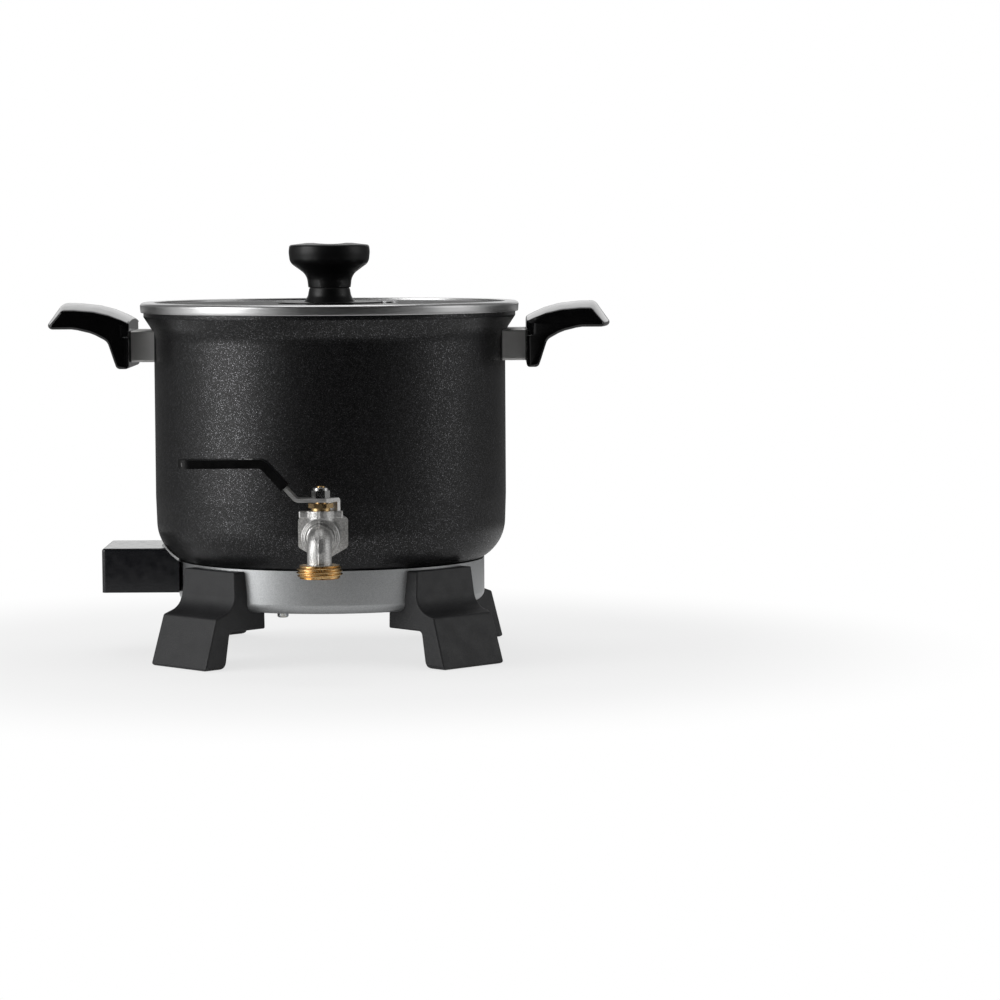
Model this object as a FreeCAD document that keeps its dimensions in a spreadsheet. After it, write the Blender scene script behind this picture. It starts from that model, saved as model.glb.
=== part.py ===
import FreeCAD, Part
import math
import os
from types import SimpleNamespace

import Sketcher

# A candle wax melter: a lidded pot with a ball-valve tap stands on a round electric hot plate.
# The pot's axis is Z, the feet stand on z = 0, the tap points along -Y and the control box along -X.
# Lengths are millimetres and angles are degrees.

DIMENSIONS = (
    # The drawn pot. Its wall is straight above the taper and flares out to an upright rim.
    ("pot_radius", 107.0), ("pot_foot_radius", 105.6), ("pot_bottom", 55.2), ("pot_floor", 2.5),
    ("pot_wall", 2.0), ("pot_round", 26.0), ("pot_taper_top", 97.0),
    ("flare_bottom", 196.0), ("flare_top", 205.6), ("flare_round", 14.0), ("flare_shift", 0.7),
    ("rim_radius", 113.3), ("rim_top", 209.0), ("rim_round", 1.6),
    # The base pan, the hot plate above it and what they hold.
    ("pan_radius", 93.5), ("pan_bottom", 32.0), ("pan_top", 57.8), ("pan_sheet", 1.0), ("pan_round", 5.5),
    ("plate_top", 55.1), ("plate_under", 46.0), ("plate_radius", 83.5), ("plate_skirt", 48.0),
    ("plate_chamfer", 3.0), ("boss_radius", 9.0), ("stud_radius", 3.0), ("stud_top", 44.0),
    ("stud_bottom", 26.5), ("nut_bottom", 27.2), ("nut_flange_radius", 7.0), ("nut_flange", 1.0),
    ("nut_flats", 10.0), ("rib_width", 3.0), ("rib_depth", 2.6), ("rib_end", 54.0), ("rib_count", 6),
    ("element_ring", 60.0), ("element_radius", 3.5), ("element_play", 0.05), ("element_sweep", 310.0),
    ("element_leg_end", 37.5), ("pin_radius", 1.2), ("pin_end", 34.6),
    ("shield_height", 38.4), ("shield_sheet", 0.8), ("shield_bore", 9.6), ("shield_flat", 82.0),
    ("shield_radius", 87.0), ("shield_rim", 44.0), ("shield_notch", 12.0), ("shield_notch_start", 70.0),
    ("leg_hole", 5.0),
    ("spacer_circle", 80.0), ("spacer_angle", 251.1), ("spacer_radius", 3.2), ("spigot_radius", 2.2),
    ("spigot_top", 39.9), ("pan_screw_radius", 1.5), ("pan_screw_head", 3.4), ("pan_screw_bottom", 28.9),
    ("pan_screw_top", 39.0),
    ("bulb_x", -33.0), ("bulb_radius", 2.8), ("bulb_half", 14.0),
    ("fuse_y", -38.0), ("fuse_radius", 2.0), ("fuse_half", 5.5), ("fuse_lead", 0.5), ("fuse_lead_half", 12.0),
    ("lead_radius", 1.5), ("lead_low", 36.0), ("lead_exit", 2.4),
    # The moulded feet, in the plane that runs out from the axis.
    ("foot_top", 56.6), ("foot_outer", 99.0), ("foot_waist", 100.4), ("foot_cove_height", 34.6),
    ("foot_cove", 11.5), ("knee_round", 2.0),
    ("knee_reach", 114.4), ("knee_height", 30.1), ("toe_reach", 124.0), ("toe_round", 1.5),
    ("heel_reach", 108.0), ("heel_round", 5.0), ("crotch_reach", 104.0), ("crotch_height", 21.5),
    ("crotch_round", 3.0), ("arm_end", 77.0), ("arm_under", 21.7), ("foot_seat", 0.05),
    ("foot_half_top", 22.5), ("foot_waist_height", 42.0), ("foot_half_knee", 24.2),
    ("foot_half_toe", 25.0), ("foot_edge", 1.2), ("sole_round", 3.0),
    ("foot_screw_reach", 83.5), ("foot_screw_side", 12.0), ("foot_screw_radius", 2.0),
    ("foot_screw_hole", 2.2), ("foot_screw_head", 4.0), ("foot_screw_recess", 4.2),
    ("foot_screw_seat", 26.2), ("foot_screw_head_height", 2.6), ("foot_screw_top", 37.0),
    # The control box on the pan's side.
    ("box_end", 138.0), ("box_half", 30.0), ("box_bottom", 39.4), ("box_top", 66.2), ("box_wall", 2.2),
    ("box_inner_end", 97.5), ("box_root", 91.2), ("box_slope_end", 106.0),
    ("box_slope_bottom", 54.0), ("box_corner", 2.5),
    ("box_edge", 1.6), ("box_gap", 1.6), ("cover_thick", 2.0), ("cover_play", 0.2),
    ("boss_post", 3.2), ("boss_far", 131.0), ("boss_near", 102.0), ("boss_side", 23.5),
    ("cover_screw_radius", 1.2), ("cover_screw_head", 2.6),
    ("cover_screw_length", 9.0),
    ("wire_height", 47.0), ("wire_hole", 6.2), ("grommet_bore", 4.6), ("grommet_flange", 8.0),
    ("housing_screw_side", 18.0), ("housing_screw_height", 45.0), ("housing_screw_radius", 1.5),
    ("housing_screw_head", 2.8),
    ("block_far", 122.0), ("block_near", 106.0), ("block_front", -15.0), ("block_back", 4.6),
    ("block_top", 51.0),
    ("dial_x", -122.0), ("dial_z", 52.8), ("bush_radius", 4.5), ("bush_end", 33.1),
    ("thermostat_half", 11.5), ("thermostat_low", 42.0), ("thermostat_high", 63.5),
    ("thermostat_back", 27.7), ("thermostat_front", 11.0), ("bush_nut_flats", 13.0), ("bush_nut", 2.2),
    ("shaft_radius", 3.0), ("running_fit", 0.05), ("shaft_front", 14.0), ("shaft_end", 41.0),
    ("shaft_flat", 1.9), ("knob_start", 30.7), ("knob_skirt", 11.0), ("knob_skirt_end", 33.4),
    ("knob_grip", 9.7), ("knob_end", 43.6), ("knob_nose", 9.0), ("knob_hollow", 8.2),
    ("knob_hollow_end", 34.2), ("flute_radius", 1.3), ("flute_circle", 10.3), ("flute_count", 12),
    ("pointer_width", 1.6), ("pointer_proud", 0.8),
    ("lamp_x", -103.5), ("lamp_z", 58.8), ("lamp_radius", 3.0), ("lamp_flange", 4.0),
    ("inlet_z", 47.2), ("cord_bore", 3.6), ("inlet_neck", 5.0), ("inlet_flange", 6.2),
    # The side handles: steel flame guards and moulded grips.
    ("guard_half", 23.75), ("guard_low", 178.7), ("guard_high", 197.6), ("guard_sheet", 0.8),
    ("guard_corner", 1.5), ("guard_end", 120.9), ("handle_axis", 187.0),
    ("grip_inner", 119.8), ("grip_recess", 121.0), ("grip_low", 175.0), ("grip_half_inner", 35.2),
    ("grip_half_outer", 44.0), ("grip_tip", 172.5), ("grip_tip_top", 203.7), ("grip_tip_under", 199.1),
    ("grip_crease", 162.5), ("grip_crown", 213.7), ("grip_inner_top", 202.0), ("grip_play", 0.1),
    ("grip_foot_round", 2.5),
    ("shoulder_top", 202.0), ("shoulder_rise", 19.0), ("shoulder_radius_y", 125.0),
    ("grip_corner_inner", 9.0), ("grip_corner_outer", 4.0), ("crown_radius", 135.5), ("crown_tilt", 38.0),
    ("bracket_low", 181.0), ("bracket_height", 12.0), ("bracket_sheet", 1.5), ("bracket_end", 118.5),
    ("bracket_half", 6.5), ("bracket_flange", 14.0), ("bracket_foot", 108.7),
    ("rivet_side", 9.5), ("rivet_height", 188.0), ("rivet_radius", 2.0), ("rivet_head", 3.4),
    ("handle_screw_radius", 2.5), ("handle_screw_head", 4.2), ("handle_screw_seat", 126.0),
    ("handle_screw_head_end", 129.0), ("handle_screw_start", 111.5), ("handle_nut_flats", 8.0),
    ("handle_nut_start", 113.0),
    # The tap, by distance from the pot's axis along the tap's own axis.
    ("tap_height", 82.0), ("inlet_start", 87.5), ("inlet_radius", 8.45), ("flow_radius", 5.0),
    ("inlet_end", 131.2), ("seat_pocket", 7.0), ("seat_depth_in", 127.8), ("wall_hole", 8.6),
    ("seal_outer", 108.3), ("seal_radius", 13.0), ("wall_nut_flats", 29.0), ("wall_nut_thick", 3.5),
    ("wall_nut_corner", 2.6), ("seal_inner", 101.0), ("inner_seal_radius", 12.5),
    ("washer_end", 99.5), ("washer_radius", 12.0), ("lock_nut_flats", 22.0), ("lock_nut_end", 94.5),
    ("barrel_start", 120.0), ("barrel_end", 144.0), ("barrel_radius", 10.75), ("shoulder_end", 145.4),
    ("shoulder_radius", 9.2), ("neck_start", 146.2), ("neck_radius", 7.0), ("neck_end", 149.0),
    ("cavity_end", 140.2), ("seat_depth_out", 144.2), ("spout_reach", 157.0), ("elbow_bend", 8.0),
    ("spout_end", 60.0), ("outlet_radius", 13.1), ("outlet_top", 67.4), ("outlet_recess_radius", 9.8),
    ("outlet_recess", 4.0), ("outlet_chamfer", 0.7),
    ("stem_reach", 136.0), ("bonnet_radius", 7.75), ("bonnet_top", 97.0), ("lug_reach", 12.7),
    ("lug_half", 2.9), ("lug_low", 92.8), ("lug_high", 96.8), ("gland_bore", 5.6), ("gland_floor", 92.6),
    ("stem_radius", 3.5), ("collar_radius", 4.5), ("collar_pocket", 4.6), ("collar_low", 89.75),
    ("collar_high", 90.9), ("collar_roof", 91.0), ("tang_half", 1.45), ("tang_length", 7.6),
    ("tang_low", 87.35), ("stem_square_low", 102.0), ("stem_long", 6.6), ("stem_short", 4.6),
    ("stem_corner", 1.6), ("stem_thread", 2.5), ("stem_top", 111.3),
    ("packing_top", 95.4), ("gland_hex_low", 98.6), ("gland_top", 101.2), ("gland_flats", 12.4),
    ("ball_radius", 7.6), ("ball_bore", 4.8), ("slot_half", 1.5), ("slot_floor", 5.2),
    ("seat_front", 4.3), ("seat_back", 8.15), ("seat_outer", 6.95), ("seat_contact", 5.7),
    # The tap's lever, by distance from the stem's axis.
    ("lever_sheet", 2.2), ("lever_half", 6.3), ("lever_root", 3.5), ("lever_bend", 14.0),
    ("lever_rise_end", 33.0), ("lever_rise", 21.2), ("lever_end", 79.5), ("lever_inner_bend", 3.0),
    ("stop_inner", 8.9), ("stop_half", 4.5), ("stop_low", 94.6), ("stop_angle", 45.0), ("stop_round", 2.0),
    ("sleeve_thick", 5.0), ("sleeve_start", 20.5), ("sleeve_end", 82.0), ("sleeve_half_start", 7.3),
    ("sleeve_half_end", 7.9), ("sleeve_edge", 1.2), ("sleeve_inner_bend", 2.0),
    ("lever_nut_flats", 9.2), ("lever_nut_hex_top", 108.6), ("lever_nut_top", 110.4),
    ("lever_nut_collar", 4.55), ("insert_radius", 3.4), ("insert_low", 108.4), ("insert_top", 110.2),
    # The glass lid, its steel rim and its knob.
    ("glass_radius", 110.6), ("glass_low", 209.7), ("glass_top", 213.7), ("glass_edge", 0.6),
    ("lid_rim_radius", 115.3), ("lid_rim_top", 214.5), ("lid_rim_lip", 208.5), ("lid_seat", 209.05),
    ("lid_lip_inner", 114.3), ("lid_skirt_outer", 110.9), ("lid_skirt_inner", 110.2),
    ("lid_skirt_low", 206.8), ("lid_ledge", 107.9), ("lid_ledge_low", 208.9), ("lid_band_inner", 107.2),
    ("lid_rim_round", 2.2),
    ("collar_base", 15.8), ("collar_waist", 13.2), ("collar_top_radius", 12.4), ("collar_top", 222.3),
    ("grip_knob_base", 12.9), ("grip_knob_start", 222.9), ("grip_knob_neck", 13.8),
    ("grip_knob_neck_height", 230.6), ("grip_knob_wide", 24.0), ("grip_knob_wide_height", 238.0),
    ("grip_knob_radius", 24.8), ("grip_knob_edge_height", 249.0), ("grip_knob_ring", 14.0),
    ("grip_knob_top", 250.0), ("scoop_radius", 70.0), ("scoop_depth", 0.7),
    ("knob_screw_radius", 3.0), ("knob_screw_end", 236.0), ("knob_screw_head", 5.5),
    ("knob_screw_low", 205.9), ("knob_washer_low", 208.7), ("knob_washer_radius", 8.0),
    ("glass_bore", 3.2), ("vent_x", 36.0), ("vent_radius", 4.0), ("vent_bore", 2.5),
    ("vent_flange", 5.5), ("vent_proud", 0.8),
)


class Size:
    """A number together with the spreadsheet expression that gives it."""

    def __init__(self, number, text):
        self.number = float(number)
        self.text = text

    def __add__(self, other):
        other = size(other)
        return Size(self.number + other.number, f"({self.text} + {other.text})")

    def __sub__(self, other):
        other = size(other)
        return Size(self.number - other.number, f"({self.text} - {other.text})")

    def __mul__(self, other):
        other = size(other)
        return Size(self.number * other.number, f"({self.text} * {other.text})")

    def __truediv__(self, other):
        other = size(other)
        return Size(self.number / other.number, f"({self.text} / {other.text})")

    def __rsub__(self, other):
        return size(other) - self

    def __rtruediv__(self, other):
        return size(other) / self

    def __neg__(self):
        return Size(-self.number, f"(0 - {self.text})")

    __radd__ = __add__
    __rmul__ = __mul__


def size(value):
    return value if isinstance(value, Size) else Size(value, f"{value:g}")


def cosine(angle):
    angle = size(angle)
    return Size(math.cos(math.radians(angle.number)), f"cos({angle.text})")


def sine(angle):
    angle = size(angle)
    return Size(math.sin(math.radians(angle.number)), f"sin({angle.text})")


def vector(across, up, out=0):
    return FreeCAD.Vector(size(across).number, size(up).number, size(out).number)


def swung(across, up, angle):
    """The point (across, up) after a turn about the origin."""
    return across * cosine(angle) - up * sine(angle), across * sine(angle) + up * cosine(angle)


doc = FreeCAD.newDocument("wax_melter")
sheet = doc.addObject("Spreadsheet::Sheet", "Dims")
for row, (alias, value) in enumerate(DIMENSIONS, start=1):
    sheet.set(f"A{row}", alias)
    sheet.set(f"B{row}", f"{value:g}")
    sheet.setAlias(f"B{row}", alias)
doc.recompute()
dim = SimpleNamespace(**{alias: Size(value, f"Dims.{alias}") for alias, value in DIMENSIONS})
parts = []


# ---------------------------------------------------------------- document helpers


def bind(thing, **sizes):
    for name, value in sizes.items():
        thing.setExpression(name, size(value).text)


def place(thing, x=0, y=0, z=0, turn=0):
    """Puts a sub-part at a point of the row frame, turned about Z."""
    thing.Placement = FreeCAD.Placement(vector(x, y, z), FreeCAD.Rotation(vector(0, 0, 1), turn))
    for path, value in (("Base.x", x), ("Base.y", y), ("Base.z", z)):
        if isinstance(value, Size):
            thing.setExpression(f"Placement.{path}", value.text)


def new_body(label, x=0, y=0, z=0, turn=0):
    body = doc.addObject("PartDesign::Body", label)
    body.Label = label
    place(body, x, y, z, turn)
    return body


def part_of_row(body):
    parts.append(body)
    return body


def new_sketch(body, plane, offset=0):
    """A sketch on one of the body's own origin planes, moved along its normal by the offset."""
    sketch = body.newObject("Sketcher::SketchObject", f"{body.Name}_sketch")
    support = next(feature for feature in body.Origin.OriginFeatures if feature.Role == plane)
    sketch.AttachmentSupport = [(support, "")]
    sketch.MapMode = "FlatFace"
    sketch.AttachmentOffset = FreeCAD.Placement(vector(0, 0, offset), FreeCAD.Rotation())
    if isinstance(offset, Size):
        sketch.setExpression("AttachmentOffset.Base.z", offset.text)
    return sketch


def locate(sketch, geometry, end, across, up):
    """Ties a point of the sketch to its place from the origin; a plain 0 puts it on the axis."""
    for kind, value, axis in (("DistanceX", across, -2), ("DistanceY", up, -1)):
        if not isinstance(value, Size) and value == 0:
            sketch.addConstraint(Sketcher.Constraint("PointOnObject", geometry, end, axis))
            continue
        value = size(value)
        constraint = Sketcher.Constraint(kind, -1, 1, geometry, end, value.number)
        index = sketch.addConstraint(constraint)
        sketch.setExpression(f"Constraints[{index}]", value.text)


def circle(sketch, across, up, radius):
    shape = Part.Circle(vector(across, up), FreeCAD.Vector(0, 0, 1), size(radius).number)
    geometry = sketch.addGeometry(shape, False)
    index = sketch.addConstraint(Sketcher.Constraint("Radius", geometry, size(radius).number))
    sketch.setExpression(f"Constraints[{index}]", size(radius).text)
    if not isinstance(across, Size) and not isinstance(up, Size) and across == 0 and up == 0:
        sketch.addConstraint(Sketcher.Constraint("Coincident", geometry, 3, -1, 1))
    else:
        locate(sketch, geometry, 3, across, up)


def outline(sketch, *corners, closed=True):
    """Straight runs through the corners. A corner is (across, up) or (across, up, rounding)."""
    points = [vector(corner[0], corner[1]) for corner in corners]
    last = len(corners) - 1
    arrive = list(points)
    leave = list(points)
    arcs = {}
    for i, corner in enumerate(corners):
        if len(corner) == 2:
            continue
        radius = size(corner[2]).number
        back = (points[i - 1] - points[i]).normalize()
        ahead = (points[(i + 1) % len(points)] - points[i]).normalize()
        half = back.getAngle(ahead) / 2
        arrive[i] = points[i] + back * (radius / math.tan(half))
        leave[i] = points[i] + ahead * (radius / math.tan(half))
        centre = points[i] + (back + ahead).normalize() * (radius / math.sin(half))
        turns_left = ahead.cross(back).z > 0
        first, second = (arrive[i], leave[i]) if turns_left else (leave[i], arrive[i])
        start = math.atan2(first.y - centre.y, first.x - centre.x)
        stop = math.atan2(second.y - centre.y, second.x - centre.x)
        stop += 2 * math.pi if stop < start else 0
        whole = Part.Circle(centre, FreeCAD.Vector(0, 0, 1), radius)
        arcs[i] = (sketch.addGeometry(Part.ArcOfCircle(whole, start, stop), False), turns_left)
    runs = {}
    for i in range(len(corners) if closed else last):
        run = Part.LineSegment(leave[i], arrive[(i + 1) % len(corners)])
        runs[i] = sketch.addGeometry(run, False)
    for i, corner in enumerate(corners):
        before = runs.get(i - 1 if i or not closed else last)
        after = runs.get(i)
        if len(corner) == 2:
            if before is not None and after is not None:
                sketch.addConstraint(Sketcher.Constraint("Coincident", before, 2, after, 1))
            geometry, end = (after, 1) if after is not None else (before, 2)
            locate(sketch, geometry, end, corner[0], corner[1])
            continue
        arc, turns_left = arcs[i]
        arc_in, arc_out = (1, 2) if turns_left else (2, 1)
        sketch.addConstraint(Sketcher.Constraint("Tangent", before, 2, arc, arc_in))
        sketch.addConstraint(Sketcher.Constraint("Tangent", arc, arc_out, after, 1))
        index = sketch.addConstraint(Sketcher.Constraint("Radius", arc, size(corner[2]).number))
        sketch.setExpression(f"Constraints[{index}]", size(corner[2]).text)
        mark = sketch.addGeometry(Part.Point(points[i]), True)
        sketch.addConstraint(Sketcher.Constraint("PointOnObject", mark, 1, before))
        sketch.addConstraint(Sketcher.Constraint("PointOnObject", mark, 1, after))
        locate(sketch, mark, 1, corner[0], corner[1])


def hexagon(across_flats, up=0, corner_up=False, rounding=None):
    """The corners of a hexagon about (0, up); corner_up puts a corner at the top."""
    reach = across_flats / 2 / cosine(30)
    start = 30 if corner_up else 0
    corners = []
    for k in range(6):
        across, height = reach * cosine(start + 60 * k), up + reach * sine(start + 60 * k)
        corners.append((across, height) if rounding is None else (across, height, rounding))
    return corners


def pad(body, sketch, length, reverse=False, both_ways=False):
    feature = body.newObject("PartDesign::Pad", f"{body.Name}_pad")
    feature.Profile = sketch
    feature.Length = size(length).number
    bind(feature, Length=length)
    feature.Reversed = reverse
    feature.SideType = "Symmetric" if both_ways else "One side"
    return feature


def revolve(body, sketch, axis="V_Axis", angle=360):
    feature = body.newObject("PartDesign::Revolution", f"{body.Name}_revolve")
    feature.Profile = sketch
    feature.ReferenceAxis = (sketch, [axis])
    feature.Angle = size(angle).number
    bind(feature, Angle=angle)
    feature.Midplane = isinstance(angle, Size)
    return feature


def checked_cut(body, feature, volume_before):
    """Stops the build when a cut misses the solid."""
    doc.recompute()
    if not feature.Shape.Volume < volume_before - 1e-3:
        raise ValueError(f"{feature.Name} of {body.Label} cuts nothing")
    return feature


def pocket(body, sketch, length=None, reverse=False, both_ways=False):
    """Cuts away from the sketch's normal, or along it when reversed; no length cuts through all."""
    doc.recompute()
    volume = body.Shape.Volume
    feature = body.newObject("PartDesign::Pocket", f"{body.Name}_pocket")
    feature.Profile = sketch
    feature.Reversed = reverse
    feature.SideType = "Symmetric" if both_ways else "One side"
    if length is None:
        feature.Type = "ThroughAll"
    else:
        feature.Length = size(length).number
        bind(feature, Length=length)
    return checked_cut(body, feature, volume)


def groove(body, sketch, axis="V_Axis"):
    doc.recompute()
    volume = body.Shape.Volume
    feature = body.newObject("PartDesign::Groove", f"{body.Name}_groove")
    feature.Profile = sketch
    feature.ReferenceAxis = (sketch, [axis])
    feature.Angle = 360
    return checked_cut(body, feature, volume)


def pipe(body, kind, profile, path):
    """Sweeps the profile along the path; kind is AdditivePipe or SubtractivePipe."""
    feature = body.newObject(f"PartDesign::{kind}", f"{body.Name}_pipe")
    feature.Profile = profile
    feature.Spine = (path, [])
    return feature


def edges_where(shape, test):
    """The names of the edges whose every end and middle passes the test."""
    names = []
    for index, edge in enumerate(shape.Edges, start=1):
        middle = edge.valueAt((edge.FirstParameter + edge.LastParameter) / 2)
        if all(test(point) for point in [vertex.Point for vertex in edge.Vertexes] + [middle]):
            names.append(f"Edge{index}")
    return names


def soften(body, kind, amount, test):
    """Fillets or chamfers the edges of the body's last feature that pass the test."""
    doc.recompute()
    base = body.Tip
    names = edges_where(base.Shape, test)
    if not names:
        raise ValueError(f"{body.Label} has no such edge")
    feature = body.newObject(f"PartDesign::{kind}", f"{body.Name}_{kind.lower()}")
    feature.Base = (base, names)
    if kind == "Fillet":
        feature.Radius = size(amount).number
        bind(feature, Radius=amount)
    else:
        feature.Size = size(amount).number
        bind(feature, Size=amount)
    doc.recompute()
    return feature


def polar_pattern(body, feature, axis_role, count):
    pattern = body.newObject("PartDesign::PolarPattern", f"{body.Name}_pattern")
    pattern.Originals = [feature]
    axis = next(item for item in body.Origin.OriginFeatures if item.Role == axis_role)
    pattern.Axis = (axis, [""])
    pattern.Angle = 360
    pattern.Occurrences = int(count.number)
    bind(pattern, Occurrences=count)
    body.Tip = pattern
    doc.recompute()
    return pattern


def turned(label, corners, plane="XZ_Plane", axis="V_Axis", **where):
    """A turned piece: an outline revolved about an axis of its own sketch."""
    body = new_body(label, **where)
    sketch = new_sketch(body, plane)
    outline(sketch, *corners)
    revolve(body, sketch, axis)
    return body


def group(label, source, places):
    """One sub-part made of several copies of the same piece."""
    links = []
    for x, y, z, turn in places:
        link = doc.addObject("App::Link", f"{label}_copy")
        link.LinkedObject = source
        place(link, x, y, z, turn)
        links.append(link)
    compound = doc.addObject("Part::Compound", label)
    compound.Label = label
    compound.Links = links
    return part_of_row(compound)


# ---------------------------------------------------------------- regions shared by several pieces


def pot_region(sketch, gap=0, lower_by=0):
    """Everything inside the pot's outer face, with a gap around it."""
    top = dim.rim_top - lower_by
    outline(
        sketch,
        (0, dim.pot_bottom - gap - lower_by),
        (dim.pot_foot_radius + gap, dim.pot_bottom - gap - lower_by, dim.pot_round + gap),
        (dim.pot_radius + gap, dim.pot_taper_top - lower_by),
        (dim.pot_radius + gap, dim.flare_bottom - lower_by, dim.flare_round - gap),
        (dim.rim_radius + gap, dim.flare_top - lower_by),
        (dim.rim_radius + gap, top),
        (0, top),
    )


def pan_region(sketch, gap):
    """Everything inside the pan's outer face, with a gap around it."""
    outline(
        sketch,
        (0, dim.pan_bottom - gap),
        (dim.pan_radius + gap, dim.pan_bottom - gap, dim.pan_round + gap),
        (dim.pan_radius + gap, dim.box_top),
        (0, dim.box_top),
    )


def element_leg(side):
    """Where the heating element's leg stands; side is -1 or 1."""
    half = dim.element_sweep / 2
    return dim.element_ring * cosine(half), side * (dim.element_ring * sine(half))


def spacer_places(height=0):
    places = []
    for k in range(4):
        angle = dim.spacer_angle + 90 * k
        places.append((dim.spacer_circle * cosine(angle), dim.spacer_circle * sine(angle), height, 0))
    return places


def foot_screw_places(height=0):
    places = []
    for k in range(4):
        for side in (-1, 1):
            x, y = swung(dim.foot_screw_reach, side * dim.foot_screw_side, 45 + 90 * k)
            places.append((x, y, height, 0))
    return places


# ---------------------------------------------------------------- base


def base_pan():
    """Drawn pan: a round floor, a rounded corner and an upright wall with a raw edge."""
    floor = dim.pan_bottom + dim.pan_sheet
    inside = dim.pan_radius - dim.pan_sheet
    body = turned("base_pan", [
        (0, dim.pan_bottom), (dim.pan_radius, dim.pan_bottom, dim.pan_round), (dim.pan_radius, dim.pan_top),
        (inside, dim.pan_top), (inside, floor, dim.pan_round - dim.pan_sheet), (0, floor)])
    holes = new_sketch(body, "XY_Plane")
    circle(holes, 0, 0, dim.stud_radius)
    for x, y, _, _ in spacer_places():
        circle(holes, x, y, dim.pan_screw_radius)
    for x, y, _, _ in foot_screw_places():
        circle(holes, x, y, dim.foot_screw_radius)
    pocket(body, holes, floor + 1, reverse=True)
    side = new_sketch(body, "YZ_Plane")
    circle(side, 0, dim.wire_height, dim.wire_hole)
    for sign in (-1, 1):
        circle(side, sign * dim.housing_screw_side, dim.housing_screw_height, dim.housing_screw_radius)
    pocket(body, side, dim.pan_radius + 1)
    return part_of_row(body)


def heating_plate():
    """Cast plate: a flat top, a channel for the ring heater, radial ribs and a boss to the pan."""
    reach = dim.element_radius + dim.element_play
    roof = dim.plate_under + reach
    floor = dim.pan_bottom + dim.pan_sheet
    body = turned("heating_plate", [
        (0, dim.plate_top), (dim.plate_radius, dim.plate_top, 1.5), (dim.plate_radius, dim.plate_skirt),
        (dim.plate_radius - dim.plate_chamfer, dim.plate_under),
        (dim.element_ring + reach, dim.plate_under), (dim.element_ring + reach, roof, dim.element_radius),
        (dim.element_ring - reach, roof, dim.element_radius), (dim.element_ring - reach, dim.plate_under),
        (dim.boss_radius, dim.plate_under), (dim.boss_radius, floor), (dim.stud_radius, floor),
        (dim.stud_radius, dim.stud_top), (0, dim.stud_top)])
    rib = new_sketch(body, "XY_Plane", dim.plate_under - dim.rib_depth)
    half = dim.rib_width / 2
    outline(rib, (-half, dim.boss_radius - 1), (half, dim.boss_radius - 1), (half, dim.rib_end),
            (-half, dim.rib_end))
    polar_pattern(body, pad(body, rib, dim.rib_depth), "Z_Axis", dim.rib_count)
    return part_of_row(body)


def heating_element():
    """Ring heater with a gap on the box's side and two legs down through the shield."""
    body = new_body("heating_element")
    ring = new_sketch(body, "XZ_Plane")
    circle(ring, dim.element_ring, dim.plate_under, dim.element_radius)
    revolve(body, ring, angle=dim.element_sweep)
    for radius, start, end in ((dim.element_radius, dim.plate_under, dim.element_leg_end),
                               (dim.pin_radius, dim.element_leg_end, dim.pin_end)):
        legs = new_sketch(body, "XY_Plane", start)
        for side in (-1, 1):
            circle(legs, *element_leg(side), radius)
        pad(body, legs, start - end, reverse=True)
    return part_of_row(body)


def heat_shield():
    """Stamped dish with a turned-up rim, notched where the leads rise to the box."""
    top = dim.shield_height + dim.shield_sheet
    body = turned("heat_shield", [
        (dim.shield_bore, dim.shield_height), (dim.shield_flat, dim.shield_height, 2),
        (dim.shield_radius, dim.shield_rim), (dim.shield_radius - dim.shield_sheet, dim.shield_rim + 0.4),
        (dim.shield_flat - 0.4, top, 1.2), (dim.shield_bore, top)])
    holes = new_sketch(body, "XY_Plane", dim.shield_height - 1)
    for side in (-1, 1):
        circle(holes, *element_leg(side), dim.leg_hole)
    for x, y, _, _ in spacer_places():
        circle(holes, x, y, dim.spigot_radius)
    far = -(dim.shield_radius + 2)
    outline(holes, (far, -dim.shield_notch), (-dim.shield_notch_start, -dim.shield_notch, 3),
            (-dim.shield_notch_start, dim.shield_notch, 3), (far, dim.shield_notch))
    pocket(body, holes, dim.shield_rim - dim.shield_height + 3, reverse=True)
    return part_of_row(body)


def shield_spacers():
    floor = dim.pan_bottom + dim.pan_sheet
    spacer = turned("spacer", [
        (dim.pan_screw_radius, floor), (dim.spacer_radius, floor), (dim.spacer_radius, dim.shield_height),
        (dim.spigot_radius, dim.shield_height), (dim.spigot_radius, dim.spigot_top),
        (dim.pan_screw_radius, dim.spigot_top)])
    return group("shield_spacers", spacer, spacer_places())


def pan_screws():
    screw = turned("pan_screw", [
        (0, dim.pan_screw_bottom), (dim.pan_screw_head, dim.pan_screw_bottom, 1.3),
        (dim.pan_screw_head, dim.pan_bottom), (dim.pan_screw_radius, dim.pan_bottom),
        (dim.pan_screw_radius, dim.pan_screw_top), (0, dim.pan_screw_top)])
    return group("pan_screws", screw, spacer_places())


def plate_stud():
    return part_of_row(turned("plate_stud", [
        (0, dim.stud_bottom), (dim.stud_radius, dim.stud_bottom, 0.5), (dim.stud_radius, dim.stud_top),
        (0, dim.stud_top)]))


def plate_nut():
    """Flange nut under the pan."""
    flange_low = dim.pan_bottom - dim.nut_flange
    body = turned("plate_nut", [
        (dim.stud_radius, flange_low), (dim.nut_flange_radius, flange_low),
        (dim.nut_flange_radius, dim.pan_bottom), (dim.stud_radius, dim.pan_bottom)])
    hexes = new_sketch(body, "XY_Plane", flange_low)
    outline(hexes, *hexagon(dim.nut_flats))
    circle(hexes, 0, 0, dim.stud_radius)
    pad(body, hexes, flange_low - dim.nut_bottom, reverse=True)
    return part_of_row(body)


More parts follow.
